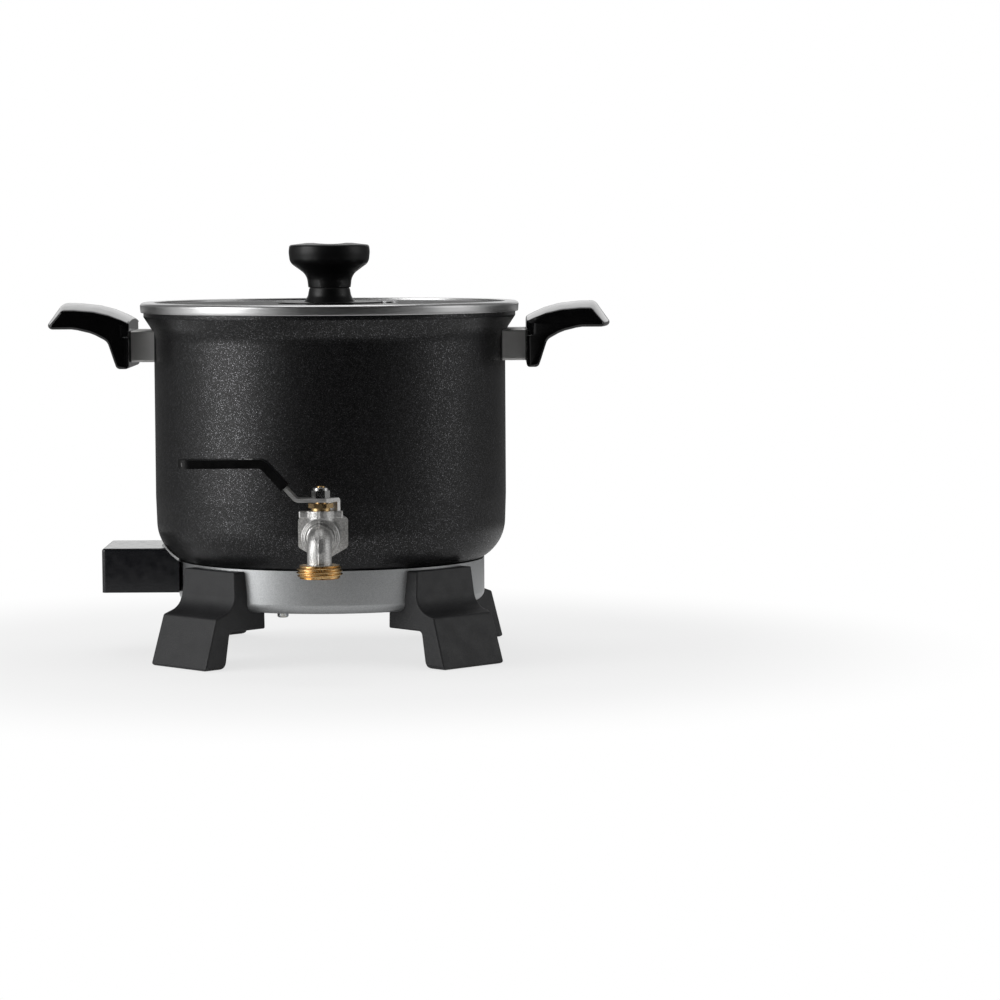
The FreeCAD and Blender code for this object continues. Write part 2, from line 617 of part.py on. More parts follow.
def sensor_bulb():
    """Capillary bulb of the thermostat, held against the plate's underside."""
    height = dim.plate_under - dim.bulb_radius
    return part_of_row(turned("sensor_bulb", [
        (-dim.bulb_half, 0), (-dim.bulb_half, dim.bulb_radius, 1.2), (dim.bulb_half, dim.bulb_radius, 1.2),
        (dim.bulb_half, 0)], plane="YZ_Plane", axis="H_Axis", x=dim.bulb_x, z=height))


def thermal_fuse():
    """Axial fuse with its two tails, lying on the shield."""
    height = dim.shield_height + dim.shield_sheet + dim.fuse_radius
    return part_of_row(turned("thermal_fuse", [
        (-dim.fuse_lead_half, 0), (-dim.fuse_lead_half, dim.fuse_lead), (-dim.fuse_half, dim.fuse_lead),
        (-dim.fuse_half, dim.fuse_radius, 0.6), (dim.fuse_half, dim.fuse_radius, 0.6),
        (dim.fuse_half, dim.fuse_lead), (dim.fuse_lead_half, dim.fuse_lead), (dim.fuse_lead_half, 0)],
        axis="H_Axis", y=dim.fuse_y, z=height))


def rounded_route(points, radii):
    """Straight runs through the points, joined by tangent arcs of the given radii."""
    edges = []
    start = points[0]
    for i in range(1, len(points) - 1):
        back = (points[i - 1] - points[i]).normalize()
        ahead = (points[i + 1] - points[i]).normalize()
        half = back.getAngle(ahead) / 2
        run = radii[i - 1] / math.tan(half)
        enter, leave = points[i] + back * run, points[i] + ahead * run
        centre = points[i] + (back + ahead).normalize() * (radii[i - 1] / math.sin(half))
        middle = centre + (points[i] - centre).normalize() * radii[i - 1]
        edges.append(Part.LineSegment(start, enter).toShape())
        edges.append(Part.Arc(enter, middle, leave).toShape())
        start = leave
    edges.append(Part.LineSegment(start, points[-1]).toShape())
    return Part.Wire(edges)


def element_leads():
    """Two sleeved leads from the heater's pins, below the shield and up through the grommet."""
    tubes = []
    for side in (-1, 1):
        leg_x, leg_y = element_leg(side)
        exit_y = side * dim.lead_exit.number
        first = FreeCAD.Vector(leg_x.number - dim.pin_radius.number, leg_y.number, dim.lead_low.number)
        points = [
            first,
            FreeCAD.Vector(-66, side * 21, dim.lead_low.number),
            FreeCAD.Vector(-76, side * 9, dim.lead_low.number),
            FreeCAD.Vector(-86, exit_y, dim.wire_height.number),
            FreeCAD.Vector(-dim.block_near.number, exit_y, dim.wire_height.number),
        ]
        route = rounded_route(points, [12, 14, 11])
        section = Part.Circle(first, points[1] - points[0], dim.lead_radius.number).toShape()
        tube = route.makePipeShell([Part.Wire([section])], True, True)
        expected = math.pi * dim.lead_radius.number ** 2 * route.Length
        if abs(tube.Volume - expected) > 0.02 * expected:
            raise ValueError("a lead's volume is not its section times its length")
        tubes.append(tube)
    feature = doc.addObject("Part::Feature", "element_leads")
    feature.Label = "element_leads"
    feature.Shape = Part.makeCompound(tubes)
    place(feature)
    return part_of_row(feature)


def foot(label, turn):
    """Moulded foot: an arm under the pan, a heel against its wall, a cove, a knee and a raked toe."""
    body = new_body(label, turn=turn)
    profile = new_sketch(body, "XZ_Plane")
    outline(
        profile,
        (dim.arm_end, dim.arm_under),
        (dim.crotch_reach, dim.crotch_height, dim.crotch_round),
        (dim.heel_reach, 0, dim.heel_round),
        (dim.toe_reach, 0, dim.toe_round),
        (dim.knee_reach, dim.knee_height, dim.knee_round),
        (dim.foot_waist, dim.foot_cove_height, dim.foot_cove),
        (dim.foot_outer, dim.foot_top, 0.8),
        (dim.arm_end, dim.foot_top),
    )
    pad(body, profile, dim.foot_half_toe * 2 + 2, both_ways=True)
    sides = new_sketch(body, "YZ_Plane")
    for sign in (-1, 1):
        outline(
            sides,
            (sign * dim.foot_half_top, dim.foot_top + 1),
            (sign * dim.foot_half_knee, dim.foot_waist_height),
            (sign * dim.foot_half_toe, -1),
            (sign * (dim.foot_half_toe + 3), -1),
            (sign * (dim.foot_half_toe + 3), dim.foot_top + 1),
        )
    pocket(body, sides, both_ways=True)
    half_limit = dim.foot_half_top.number - 0.1
    outer_limit = dim.foot_outer.number - 0.1
    soften(body, "Fillet", dim.foot_edge,
           lambda point: abs(point.y) > half_limit and point.x > outer_limit and point.z > 1)
    corners = new_sketch(body, "YZ_Plane")
    clear = 0.02
    for sign in (-1, 1):
        outline(
            corners,
            (sign * (dim.foot_half_toe + clear), 8),
            (sign * (dim.foot_half_toe + clear), -clear, dim.sole_round),
            (sign * (dim.foot_half_toe - 8), -clear),
            (sign * (dim.foot_half_toe - 8), -1),
            (sign * (dim.foot_half_toe + 3), -1),
            (sign * (dim.foot_half_toe + 3), 8),
        )
    pocket(body, corners, both_ways=True)
    seat = new_sketch(body, "XZ_Plane")
    pan_region(seat, dim.foot_seat)
    groove(body, seat)
    recesses = new_sketch(body, "XY_Plane")
    holes = new_sketch(body, "XY_Plane")
    for side in (-1, 1):
        circle(recesses, dim.foot_screw_reach, side * dim.foot_screw_side, dim.foot_screw_recess)
        circle(holes, dim.foot_screw_reach, side * dim.foot_screw_side, dim.foot_screw_hole)
    pocket(body, recesses, dim.foot_screw_seat, reverse=True)
    pocket(body, holes, dim.pan_bottom + 1, reverse=True)
    return part_of_row(body)


def foot_screws():
    low = dim.foot_screw_seat - dim.foot_screw_head_height
    screw = turned("foot_screw", [
        (0, low), (dim.foot_screw_head, low, 1.2), (dim.foot_screw_head, dim.foot_screw_seat),
        (dim.foot_screw_radius, dim.foot_screw_seat), (dim.foot_screw_radius, dim.foot_screw_top),
        (0, dim.foot_screw_top)])
    return group("foot_screws", screw, foot_screw_places())


# ---------------------------------------------------------------- control box


def control_housing():
    """Moulded box, open below, shaped at its inner end to the pan and to the pot's round bottom."""
    body = new_body("control_housing")
    plan = new_sketch(body, "XY_Plane", dim.box_bottom)
    inner = -dim.box_root
    outline(plan, (-dim.box_end, -dim.box_half, dim.box_corner), (inner, -dim.box_half),
            (inner, dim.box_half), (-dim.box_end, dim.box_half, dim.box_corner))
    pad(body, plan, dim.box_top - dim.box_bottom)
    top = dim.box_top.number
    soften(body, "Fillet", dim.box_edge,
           lambda point: abs(point.z - top) < 0.01 and not abs(point.x - inner.number) < 0.01
           or abs(point.z - top) < 0.01 and abs(point.y) > dim.box_half.number - 0.01)
    cavity = new_sketch(body, "XZ_Plane")
    roof = dim.box_top - dim.box_wall
    outer = -(dim.box_end - dim.box_wall)
    outline(cavity, (outer, dim.box_bottom - 1), (-dim.box_inner_end, dim.box_bottom - 1),
            (-dim.box_inner_end, dim.box_slope_bottom), (-dim.box_slope_end, roof), (outer, roof))
    pocket(body, cavity, (dim.box_half - dim.box_wall) * 2, both_ways=True)
    posts = new_sketch(body, "XY_Plane", dim.box_bottom + dim.cover_thick)
    pilots = new_sketch(body, "XY_Plane", dim.box_bottom)
    for reach in (dim.boss_far, dim.boss_near):
        circle(posts, -reach, -dim.boss_side, dim.boss_post)
        circle(pilots, -reach, -dim.boss_side, dim.cover_screw_radius)
    pad(body, posts, roof - dim.box_bottom - dim.cover_thick + 0.5)
    pan_side = new_sketch(body, "XZ_Plane")
    pan_region(pan_side, dim.foot_seat)
    groove(body, pan_side)
    pot_side = new_sketch(body, "XZ_Plane")
    pot_region(pot_side, dim.box_gap)
    groove(body, pot_side)
    pocket(body, pilots, dim.cover_screw_length + 1, reverse=True)
    wires = new_sketch(body, "YZ_Plane")
    circle(wires, 0, dim.wire_height, dim.wire_hole)
    for sign in (-1, 1):
        circle(wires, sign * dim.housing_screw_side, dim.housing_screw_height, dim.housing_screw_radius)
    pocket(body, wires, dim.box_inner_end + 1)
    rear = new_sketch(body, "XZ_Plane")
    circle(rear, dim.dial_x, dim.dial_z, dim.bush_radius)
    circle(rear, dim.lamp_x, dim.lamp_z, dim.lamp_radius)
    circle(rear, dim.lamp_x, dim.inlet_z, dim.inlet_neck)
    pocket(body, rear, dim.box_half + 1)
    return part_of_row(body)


def control_cover():
    """Plate that closes the box from below, countersunk for its two screws."""
    body = new_body("control_cover")
    plan = new_sketch(body, "XY_Plane", dim.box_bottom)
    outer = -(dim.box_end - dim.box_wall - dim.cover_play)
    inner = -(dim.box_inner_end + dim.cover_play)
    half = dim.box_half - dim.box_wall - dim.cover_play
    outline(plan, (outer, -half), (inner, -half), (inner, half), (outer, half))
    for reach in (dim.boss_far, dim.boss_near):
        circle(plan, -reach, -dim.boss_side, dim.cover_screw_radius)
    pad(body, plan, dim.cover_thick)
    face, row = dim.box_bottom.number + 0.01, -dim.boss_side.number
    soften(body, "Chamfer", dim.cover_screw_head - dim.cover_screw_radius,
           lambda point: point.z < face and abs(point.y - row) < 2)
    return part_of_row(body)


def cover_screws():
    low = dim.box_bottom
    neck = low + dim.cover_screw_head - dim.cover_screw_radius
    end = low + dim.cover_screw_length
    screw = turned("cover_screw", [
        (0, low), (dim.cover_screw_head, low), (dim.cover_screw_radius, neck),
        (dim.cover_screw_radius, end), (0, end)])
    return group("cover_screws", screw,
                 [(-reach, -dim.boss_side, 0, 0) for reach in (dim.boss_far, dim.boss_near)])


def housing_screws():
    """Two screws from inside the pan that hold the box."""
    seat = -(dim.pan_radius - 5.5)
    screw = turned("housing_screw", [
        (seat, 0), (seat, dim.housing_screw_head, 0.8), (seat - 2, dim.housing_screw_head),
        (seat - 2, dim.housing_screw_radius), (-dim.box_inner_end, dim.housing_screw_radius),
        (-dim.box_inner_end, 0)], axis="H_Axis")
    return group("housing_screws", screw,
                 [(0, side * dim.housing_screw_side, dim.housing_screw_height, 0) for side in (-1, 1)])


def wire_grommet():
    """Rubber grommet through the pan's wall and the box's end wall."""
    inside = -(dim.pan_radius - 4)
    face = -(dim.pan_radius - 2)
    return part_of_row(turned("wire_grommet", [
        (inside, dim.grommet_bore), (inside, dim.grommet_flange, 0.8), (face, dim.grommet_flange),
        (face, dim.wire_hole), (-dim.box_inner_end, dim.wire_hole), (-dim.box_inner_end, dim.grommet_bore)],
        axis="H_Axis", z=dim.wire_height))


def terminal_block():
    """Two-way terminal block with a screw well over each way."""
    body = new_body("terminal_block")
    plan = new_sketch(body, "XY_Plane", dim.box_bottom + dim.cover_thick)
    outline(plan, (-dim.block_far, dim.block_front), (-dim.block_near, dim.block_front),
            (-dim.block_near, dim.block_back), (-dim.block_far, dim.block_back))
    pad(body, plan, dim.block_top - dim.box_bottom - dim.cover_thick)
    wells = new_sketch(body, "XY_Plane", dim.block_top)
    middle = -(dim.block_far + dim.block_near) / 2
    for y in (dim.block_front + 5, dim.block_back - 5):
        circle(wells, middle, y, 2.2)
    pocket(body, wells, 4)
    return part_of_row(body)


def thermostat():
    """Rotary thermostat: a square body, a threaded bush through the box's wall and two blades."""
    body = new_body("thermostat")
    case = new_sketch(body, "XZ_Plane", -dim.thermostat_back)
    outline(case, (dim.dial_x - dim.thermostat_half, dim.thermostat_low),
            (dim.dial_x + dim.thermostat_half, dim.thermostat_low),
            (dim.dial_x + dim.thermostat_half, dim.thermostat_high),
            (dim.dial_x - dim.thermostat_half, dim.thermostat_high))
    pad(body, case, dim.thermostat_back - dim.thermostat_front)
    bush = new_sketch(body, "XZ_Plane", -dim.thermostat_back)
    circle(bush, dim.dial_x, dim.dial_z, dim.bush_radius)
    pad(body, bush, dim.bush_end - dim.thermostat_back, reverse=True)
    blades = new_sketch(body, "XZ_Plane", -dim.thermostat_front)
    for side in (-1, 1):
        middle = dim.dial_x + side * 6
        outline(blades, (middle - 0.4, dim.dial_z - 3), (middle + 0.4, dim.dial_z - 3),
                (middle + 0.4, dim.dial_z + 3), (middle - 0.4, dim.dial_z + 3))
    pad(body, blades, 6)
    bore = new_sketch(body, "XZ_Plane", -dim.bush_end)
    circle(bore, dim.dial_x, dim.dial_z, dim.shaft_radius + dim.running_fit)
    pocket(body, bore, dim.bush_end - dim.shaft_front + 0.5, reverse=True)
    return part_of_row(body)


def thermostat_nut():
    body = new_body("thermostat_nut", x=dim.dial_x)
    flats = new_sketch(body, "XZ_Plane", -dim.box_half)
    outline(flats, *hexagon(dim.bush_nut_flats, up=dim.dial_z))
    circle(flats, 0, dim.dial_z, dim.bush_radius)
    pad(body, flats, dim.bush_nut, reverse=True)
    return part_of_row(body)


def pilot_lens():
    start = dim.box_half - 8
    return part_of_row(turned("pilot_lens", [
        (start, 0), (start, dim.lamp_radius), (dim.box_half, dim.lamp_radius),
        (dim.box_half, dim.lamp_flange), (dim.box_half + 1, dim.lamp_flange, 0.4),
        (dim.box_half + 2.6, 1.8, 1), (dim.box_half + 2.8, 0)],
        plane="YZ_Plane", axis="H_Axis", x=dim.lamp_x, z=dim.lamp_z))


def cord_bush():
    """Inlet bush for the supply cord, snapped into the box's rear wall."""
    wall = dim.box_half - dim.box_wall
    return part_of_row(turned("cord_bush", [
        (wall - 4, dim.cord_bore), (wall - 4, dim.inlet_neck, 0.5), (wall - 1, dim.inlet_neck + 0.6),
        (wall, dim.inlet_neck + 0.6), (wall, dim.inlet_neck), (dim.box_half, dim.inlet_neck),
        (dim.box_half, dim.inlet_flange), (dim.box_half + 2.2, dim.inlet_flange, 0.8),
        (dim.box_half + 3.4, dim.cord_bore + 1), (dim.box_half + 3.4, dim.cord_bore)],
        plane="YZ_Plane", axis="H_Axis", x=dim.lamp_x, z=dim.inlet_z))


def dial_shaft():
    """Thermostat shaft with a flat for the knob."""
    body = new_body("dial_shaft", x=dim.dial_x, z=dim.dial_z)
    section = new_sketch(body, "XZ_Plane", -dim.shaft_front)
    circle(section, 0, 0, dim.shaft_radius)
    pad(body, section, dim.shaft_end - dim.shaft_front, reverse=True)
    flat = new_sketch(body, "XZ_Plane", -dim.knob_hollow_end)
    wide = dim.shaft_radius + 1
    outline(flat, (-wide, dim.shaft_flat), (wide, dim.shaft_flat), (wide, wide), (-wide, wide))
    pocket(body, flat, dim.shaft_end)
    return part_of_row(body)


def dial_knob():
    """Fluted dial with a skirt, a raised pointer and a D-shaped socket."""
    body = turned("dial_knob", [
        (dim.knob_start, dim.knob_hollow), (dim.knob_start, dim.knob_skirt, 0.5),
        (dim.knob_skirt_end, dim.knob_skirt, 0.5), (dim.knob_skirt_end, dim.knob_grip),
        (dim.knob_end, dim.knob_nose, 1.2), (dim.knob_end, 0), (dim.shaft_end, 0),
        (dim.shaft_end, dim.shaft_radius), (dim.knob_hollow_end, dim.shaft_radius),
        (dim.knob_hollow_end, dim.knob_hollow)],
        plane="YZ_Plane", axis="H_Axis", x=dim.dial_x, z=dim.dial_z)
    key = new_sketch(body, "XZ_Plane", -dim.knob_hollow_end)
    wide = dim.shaft_radius - 0.5
    high = dim.shaft_radius + 0.5
    outline(key, (-wide, dim.shaft_flat), (wide, dim.shaft_flat), (wide, high), (-wide, high))
    pad(body, key, dim.shaft_end - dim.knob_hollow_end, reverse=True)
    pointer = new_sketch(body, "XZ_Plane", -(dim.knob_end - 0.5))
    half = dim.pointer_width / 2
    outline(pointer, (-half, 1.5), (half, 1.5), (half, dim.knob_nose - 1.2), (-half, dim.knob_nose - 1.2))
    pad(body, pointer, dim.pointer_proud + 0.5, reverse=True)
    flute = new_sketch(body, "XZ_Plane", -(dim.knob_skirt_end + 0.6))
    circle(flute, dim.flute_circle * cosine(15), dim.flute_circle * sine(15), dim.flute_radius)
    polar_pattern(body, pocket(body, flute, dim.knob_end), "Y_Axis", dim.flute_count)
    return part_of_row(body)


# ---------------------------------------------------------------- pot and handles


def pot_shell():
    """Drawn pot with a rounded bottom, a slight taper and a rim that flares to an upright band."""
    floor = dim.pot_bottom + dim.pot_floor
    wall = dim.pot_wall
    body = turned("pot_shell", [
        (0, dim.pot_bottom), (dim.pot_foot_radius, dim.pot_bottom, dim.pot_round),
        (dim.pot_radius, dim.pot_taper_top), (dim.pot_radius, dim.flare_bottom, dim.flare_round),
        (dim.rim_radius, dim.flare_top, dim.rim_round), (dim.rim_radius, dim.rim_top),
        (dim.rim_radius - wall, dim.rim_top), (dim.rim_radius - wall, dim.flare_top + dim.flare_shift),
        (dim.pot_radius - wall, dim.flare_bottom + dim.flare_shift, dim.flare_round + wall),
        (dim.pot_radius - wall, dim.pot_taper_top),
        (dim.pot_foot_radius - wall, floor, dim.pot_round - wall), (0, floor)])
    tap_hole = new_sketch(body, "XZ_Plane")
    circle(tap_hole, 0, dim.tap_height, dim.wall_hole)
    pocket(body, tap_hole, dim.pot_radius + 2, reverse=True)
    rivet_holes = new_sketch(body, "YZ_Plane")
    for side in (-1, 1):
        circle(rivet_holes, side * dim.rivet_side, dim.rivet_height, dim.rivet_radius)
    pocket(body, rivet_holes, dim.pot_radius * 2 + 4, both_ways=True)
    return part_of_row(body)


def flame_guard(label, turn):
    """Square steel sleeve between the pot's wall and the grip."""
    body = new_body(label, turn=turn)
    section = new_sketch(body, "YZ_Plane")
    for inset in (size(0), dim.guard_sheet):
        half, low, high = dim.guard_half - inset, dim.guard_low + inset, dim.guard_high - inset
        corner = dim.guard_corner - inset
        outline(section, (-half, low, corner), (half, low, corner), (half, high, corner),
                (-half, high, corner))
    pad(body, section, dim.guard_end)
    seat = new_sketch(body, "XZ_Plane")
    pot_region(seat)
    groove(body, seat)
    return part_of_row(body)


def grip(label, turn):
    """Moulded grip: a block on the flame guard and a crowned blade that turns down at its tip."""
    body = new_body(label, turn=turn)
    plan = new_sketch(body, "XY_Plane", dim.grip_low)
    outer = dim.grip_tip + 3
    outline(
        plan,
        (dim.grip_inner, -dim.grip_half_inner, dim.grip_corner_inner),
        (outer, -dim.grip_half_outer, dim.grip_corner_outer),
        (outer, dim.grip_half_outer, dim.grip_corner_outer),
        (dim.grip_inner, dim.grip_half_inner, dim.grip_corner_inner),
    )
    pad(body, plan, dim.grip_crown - dim.grip_low + 5)
    foot_level = dim.grip_low.number + 0.01
    soften(body, "Fillet", dim.grip_foot_round, lambda point: point.z < foot_level)
    under = new_sketch(body, "XZ_Plane")
    outline(
        under,
        (127.4, dim.grip_low - 2),
        (132.2, 191.5, 6),
        (141.0, 196.8, 12),
        (158.0, dim.grip_tip_under),
        (outer + 5, dim.grip_tip_under),
        (outer + 5, dim.grip_low - 2),
    )
    pocket(body, under, both_ways=True)
    crown = new_sketch(body, "XZ_Plane")
    outline(
        crown,
        (dim.grip_inner - 8, dim.grip_inner_top),
        (131.0, 211.0, 25),
        (147.0, dim.grip_crown, 30),
        (dim.grip_crease, dim.grip_crown),
        (dim.grip_tip, dim.grip_tip_top),
        (dim.grip_tip, dim.grip_low),
        (outer + 8, dim.grip_low),
        (outer + 8, dim.grip_crown + 20),
        (dim.grip_inner - 8, dim.grip_crown + 20),
    )
    centre_x = dim.grip_crease + 2.5 - dim.crown_radius * cosine(dim.crown_tilt)
    centre_z = dim.grip_crown - 4.7 - dim.crown_radius * sine(dim.crown_tilt)
    across, up = -sine(dim.crown_tilt), cosine(dim.crown_tilt)
    ends = (vector(centre_x, centre_z), vector(centre_x + 20 * across, centre_z + 20 * up))
    axis = crown.addGeometry(Part.LineSegment(*ends), True)
    locate(crown, axis, 1, centre_x, centre_z)
    locate(crown, axis, 2, centre_x + 20 * across, centre_z + 20 * up)
    groove(body, crown, "Axis0")
    shoulder = new_sketch(body, "XZ_Plane")
    outline(
        shoulder,
        (dim.grip_inner - 8, dim.shoulder_top),
        (dim.grip_inner + 34, dim.shoulder_top + dim.shoulder_rise),
        (dim.grip_inner + 34, dim.grip_crown + 20),
        (dim.grip_inner - 8, dim.grip_crown + 20),
    )
    pivot_z = dim.shoulder_top + dim.shoulder_rise / 2 - dim.shoulder_radius_y
    pivot = shoulder.addGeometry(Part.LineSegment(vector(0, pivot_z), vector(20, pivot_z)), True)
    locate(shoulder, pivot, 1, 0, pivot_z)
    locate(shoulder, pivot, 2, size(20), pivot_z)
    groove(body, shoulder, "Axis0")
    mouth = new_sketch(body, "YZ_Plane", dim.grip_inner - 1)
    half, low, high = (dim.guard_half + dim.grip_play, dim.guard_low - dim.grip_play,
                       dim.guard_high + dim.grip_play)
    outline(mouth, (-half, low, dim.guard_corner), (half, low, dim.guard_corner),
            (half, high, dim.guard_corner), (-half, high, dim.guard_corner))
    pocket(body, mouth, dim.grip_recess - dim.grip_inner + 1, reverse=True)
    bore = new_sketch(body, "YZ_Plane", dim.grip_inner - 1)
    circle(bore, 0, dim.handle_axis, dim.handle_screw_radius)
    pocket(body, bore, 15, reverse=True)
    counterbore = new_sketch(body, "YZ_Plane", dim.handle_screw_seat)
    circle(counterbore, 0, dim.handle_axis, dim.handle_screw_head + 0.3)
    pocket(body, counterbore, 8, reverse=True)
    return part_of_row(body)


def handle_brackets():
    """Hat-shaped steel bracket, riveted to the pot inside each flame guard."""
    body = new_body("handle_bracket")
    plan = new_sketch(body, "XY_Plane", dim.bracket_low)
    root = dim.pot_radius - 3
    inner_half = dim.bracket_half - dim.bracket_sheet
    outline(
        plan,
        (root, -dim.bracket_flange), (dim.bracket_foot, -dim.bracket_flange),
        (dim.bracket_foot, -dim.bracket_half), (dim.bracket_end, -dim.bracket_half),
        (dim.bracket_end, dim.bracket_half), (dim.bracket_foot, dim.bracket_half),
        (dim.bracket_foot, dim.bracket_flange), (root, dim.bracket_flange),
        (root, inner_half), (dim.bracket_end - dim.bracket_sheet, inner_half),
        (dim.bracket_end - dim.bracket_sheet, -inner_half), (root, -inner_half),
    )
    pad(body, plan, dim.bracket_height)
    seat = new_sketch(body, "XZ_Plane")
    pot_region(seat)
    groove(body, seat)
    holes = new_sketch(body, "YZ_Plane", root)
    circle(holes, 0, dim.handle_axis, dim.handle_screw_radius)
    for side in (-1, 1):
        circle(holes, side * dim.rivet_side, dim.rivet_height, dim.rivet_radius)
    pocket(body, holes, 20, reverse=True)
    return group("handle_brackets", body, [(0, 0, 0, 0), (0, 0, 0, 180)])


def handle_rivets():
    """Round-headed rivets through the pot's wall into the brackets."""
    under_head = dim.pot_radius - 2.85
    tail = dim.bracket_foot
    rivet = turned("handle_rivet", [
        (under_head - 1.9, 0), (under_head - 1.7, dim.rivet_head - 1.1, 1.2), (under_head, dim.rivet_head),
        (under_head, dim.rivet_radius), (tail, dim.rivet_radius), (tail, dim.rivet_radius + 0.9),
        (tail + 1.2, dim.rivet_radius + 0.3), (tail + 1.3, 0)], axis="H_Axis")
    places = [(0, side * dim.rivet_side, dim.rivet_height, turn) for side in (-1, 1) for turn in (0, 180)]
    return group("handle_rivets", rivet, places)


def handle_screws():
    screw = turned("handle_screw", [
        (dim.handle_screw_start, 0), (dim.handle_screw_start, dim.handle_screw_radius),
        (dim.handle_screw_seat, dim.handle_screw_radius), (dim.handle_screw_seat, dim.handle_screw_head),
        (dim.handle_screw_head_end, dim.handle_screw_head, 1.2), (dim.handle_screw_head_end, 0)],
        axis="H_Axis")
    return group("handle_screws", screw, [(0, 0, dim.handle_axis, 0), (0, 0, dim.handle_axis, 180)])


def handle_nuts():
    body = new_body("handle_nut")
    flats = new_sketch(body, "YZ_Plane", dim.handle_nut_start)
    outline(flats, *hexagon(dim.handle_nut_flats, corner_up=True))
    circle(flats, 0, 0, dim.handle_screw_radius)
    pad(body, flats, dim.bracket_end - dim.bracket_sheet - dim.handle_nut_start)
    return group("handle_nuts", body, [(0, 0, dim.handle_axis, 0), (0, 0, dim.handle_axis, 180)])


# ---------------------------------------------------------------- tap


def along_tap(label, corners):
    """A piece turned about the tap's axis; across is -distance from the pot's axis."""
    return turned(label, corners, plane="YZ_Plane", axis="H_Axis", z=dim.tap_height)


def tap_outer_seal():
    """Sealing ring between the pot's wall and the flange nut, shaped to the wall."""
    hole = dim.inlet_radius
    body = along_tap("tap_outer_seal", [
        (-(dim.pot_radius - 7), hole), (-dim.seal_outer, hole), (-dim.seal_outer, dim.seal_radius, 0.4),
        (-(dim.pot_radius - 7), dim.seal_radius)])
    wall = new_sketch(body, "XZ_Plane")
    pot_region(wall, lower_by=dim.tap_height)
    groove(body, wall)
    return part_of_row(body)


def tap_wall_nut():
    """Thin hexagonal flange nut with rounded corners, one corner up."""
    body = new_body("tap_wall_nut", z=dim.tap_height)
    flats = new_sketch(body, "XZ_Plane", dim.seal_outer)
    outline(flats, *hexagon(dim.wall_nut_flats, corner_up=True, rounding=dim.wall_nut_corner))
    circle(flats, 0, 0, dim.inlet_radius)
    pad(body, flats, dim.wall_nut_thick)
    return part_of_row(body)


def tap_inner_seal():
    """Sealing ring against the inside of the pot's wall, shaped to its round bottom."""
    body = along_tap("tap_inner_seal", [
        (-dim.seal_inner, dim.inlet_radius), (-dim.seal_inner, dim.inner_seal_radius),
        (-(dim.pot_radius + 3), dim.inner_seal_radius), (-(dim.pot_radius + 3), dim.inlet_radius)])
    wall = new_sketch(body, "XZ_Plane")
    floor = dim.pot_bottom + dim.pot_floor - dim.tap_height
    inside = dim.pot_radius - dim.pot_wall
    outside = dim.pot_radius + 10
    outline(
        wall,
        (dim.pot_foot_radius - dim.pot_wall - 45, floor),
        (dim.pot_foot_radius - dim.pot_wall, floor, dim.pot_round - dim.pot_wall),
        (inside, dim.pot_taper_top - dim.tap_height),
        (inside, dim.pot_taper_top - dim.tap_height + 20),
        (outside, dim.pot_taper_top - dim.tap_height + 20),
        (outside, floor - 5),
        (dim.pot_foot_radius - dim.pot_wall - 45, floor - 5),
    )
    groove(body, wall)
    return part_of_row(body)


def tap_inner_washer():
    return part_of_row(along_tap("tap_inner_washer", [
        (-dim.washer_end, dim.inlet_radius), (-dim.washer_end, dim.washer_radius),
        (-dim.seal_inner, dim.washer_radius), (-dim.seal_inner, dim.inlet_radius)]))


def tap_lock_nut():
    body = new_body("tap_lock_nut", z=dim.tap_height)
    flats = new_sketch(body, "XZ_Plane", dim.lock_nut_end)
    outline(flats, *hexagon(dim.lock_nut_flats))
    circle(flats, 0, 0, dim.inlet_radius)
    pad(body, flats, dim.washer_end - dim.lock_nut_end)
    return part_of_row(body)


def tap_inlet():
    """Threaded pipe through the wall; its outer end screws into the barrel and backs a ball seat."""
    return part_of_row(along_tap("tap_inlet", [
        (-dim.inlet_start, dim.flow_radius), (-dim.inlet_start, dim.inlet_radius, 0.8),
        (-dim.inlet_end, dim.inlet_radius), (-dim.inlet_end, dim.seat_pocket),
        (-dim.seat_depth_in, dim.seat_pocket), (-dim.seat_depth_in, dim.flow_radius)]))


def spout_route(body):
    """The centre line from the neck round the elbow to the outlet."""
    route = new_sketch(body, "YZ_Plane")
    outline(route, (-(dim.neck_end - 1), 0), (-dim.spout_reach, 0, dim.elbow_bend),
            (-dim.spout_reach, dim.spout_end - dim.tap_height), closed=False)
    return route


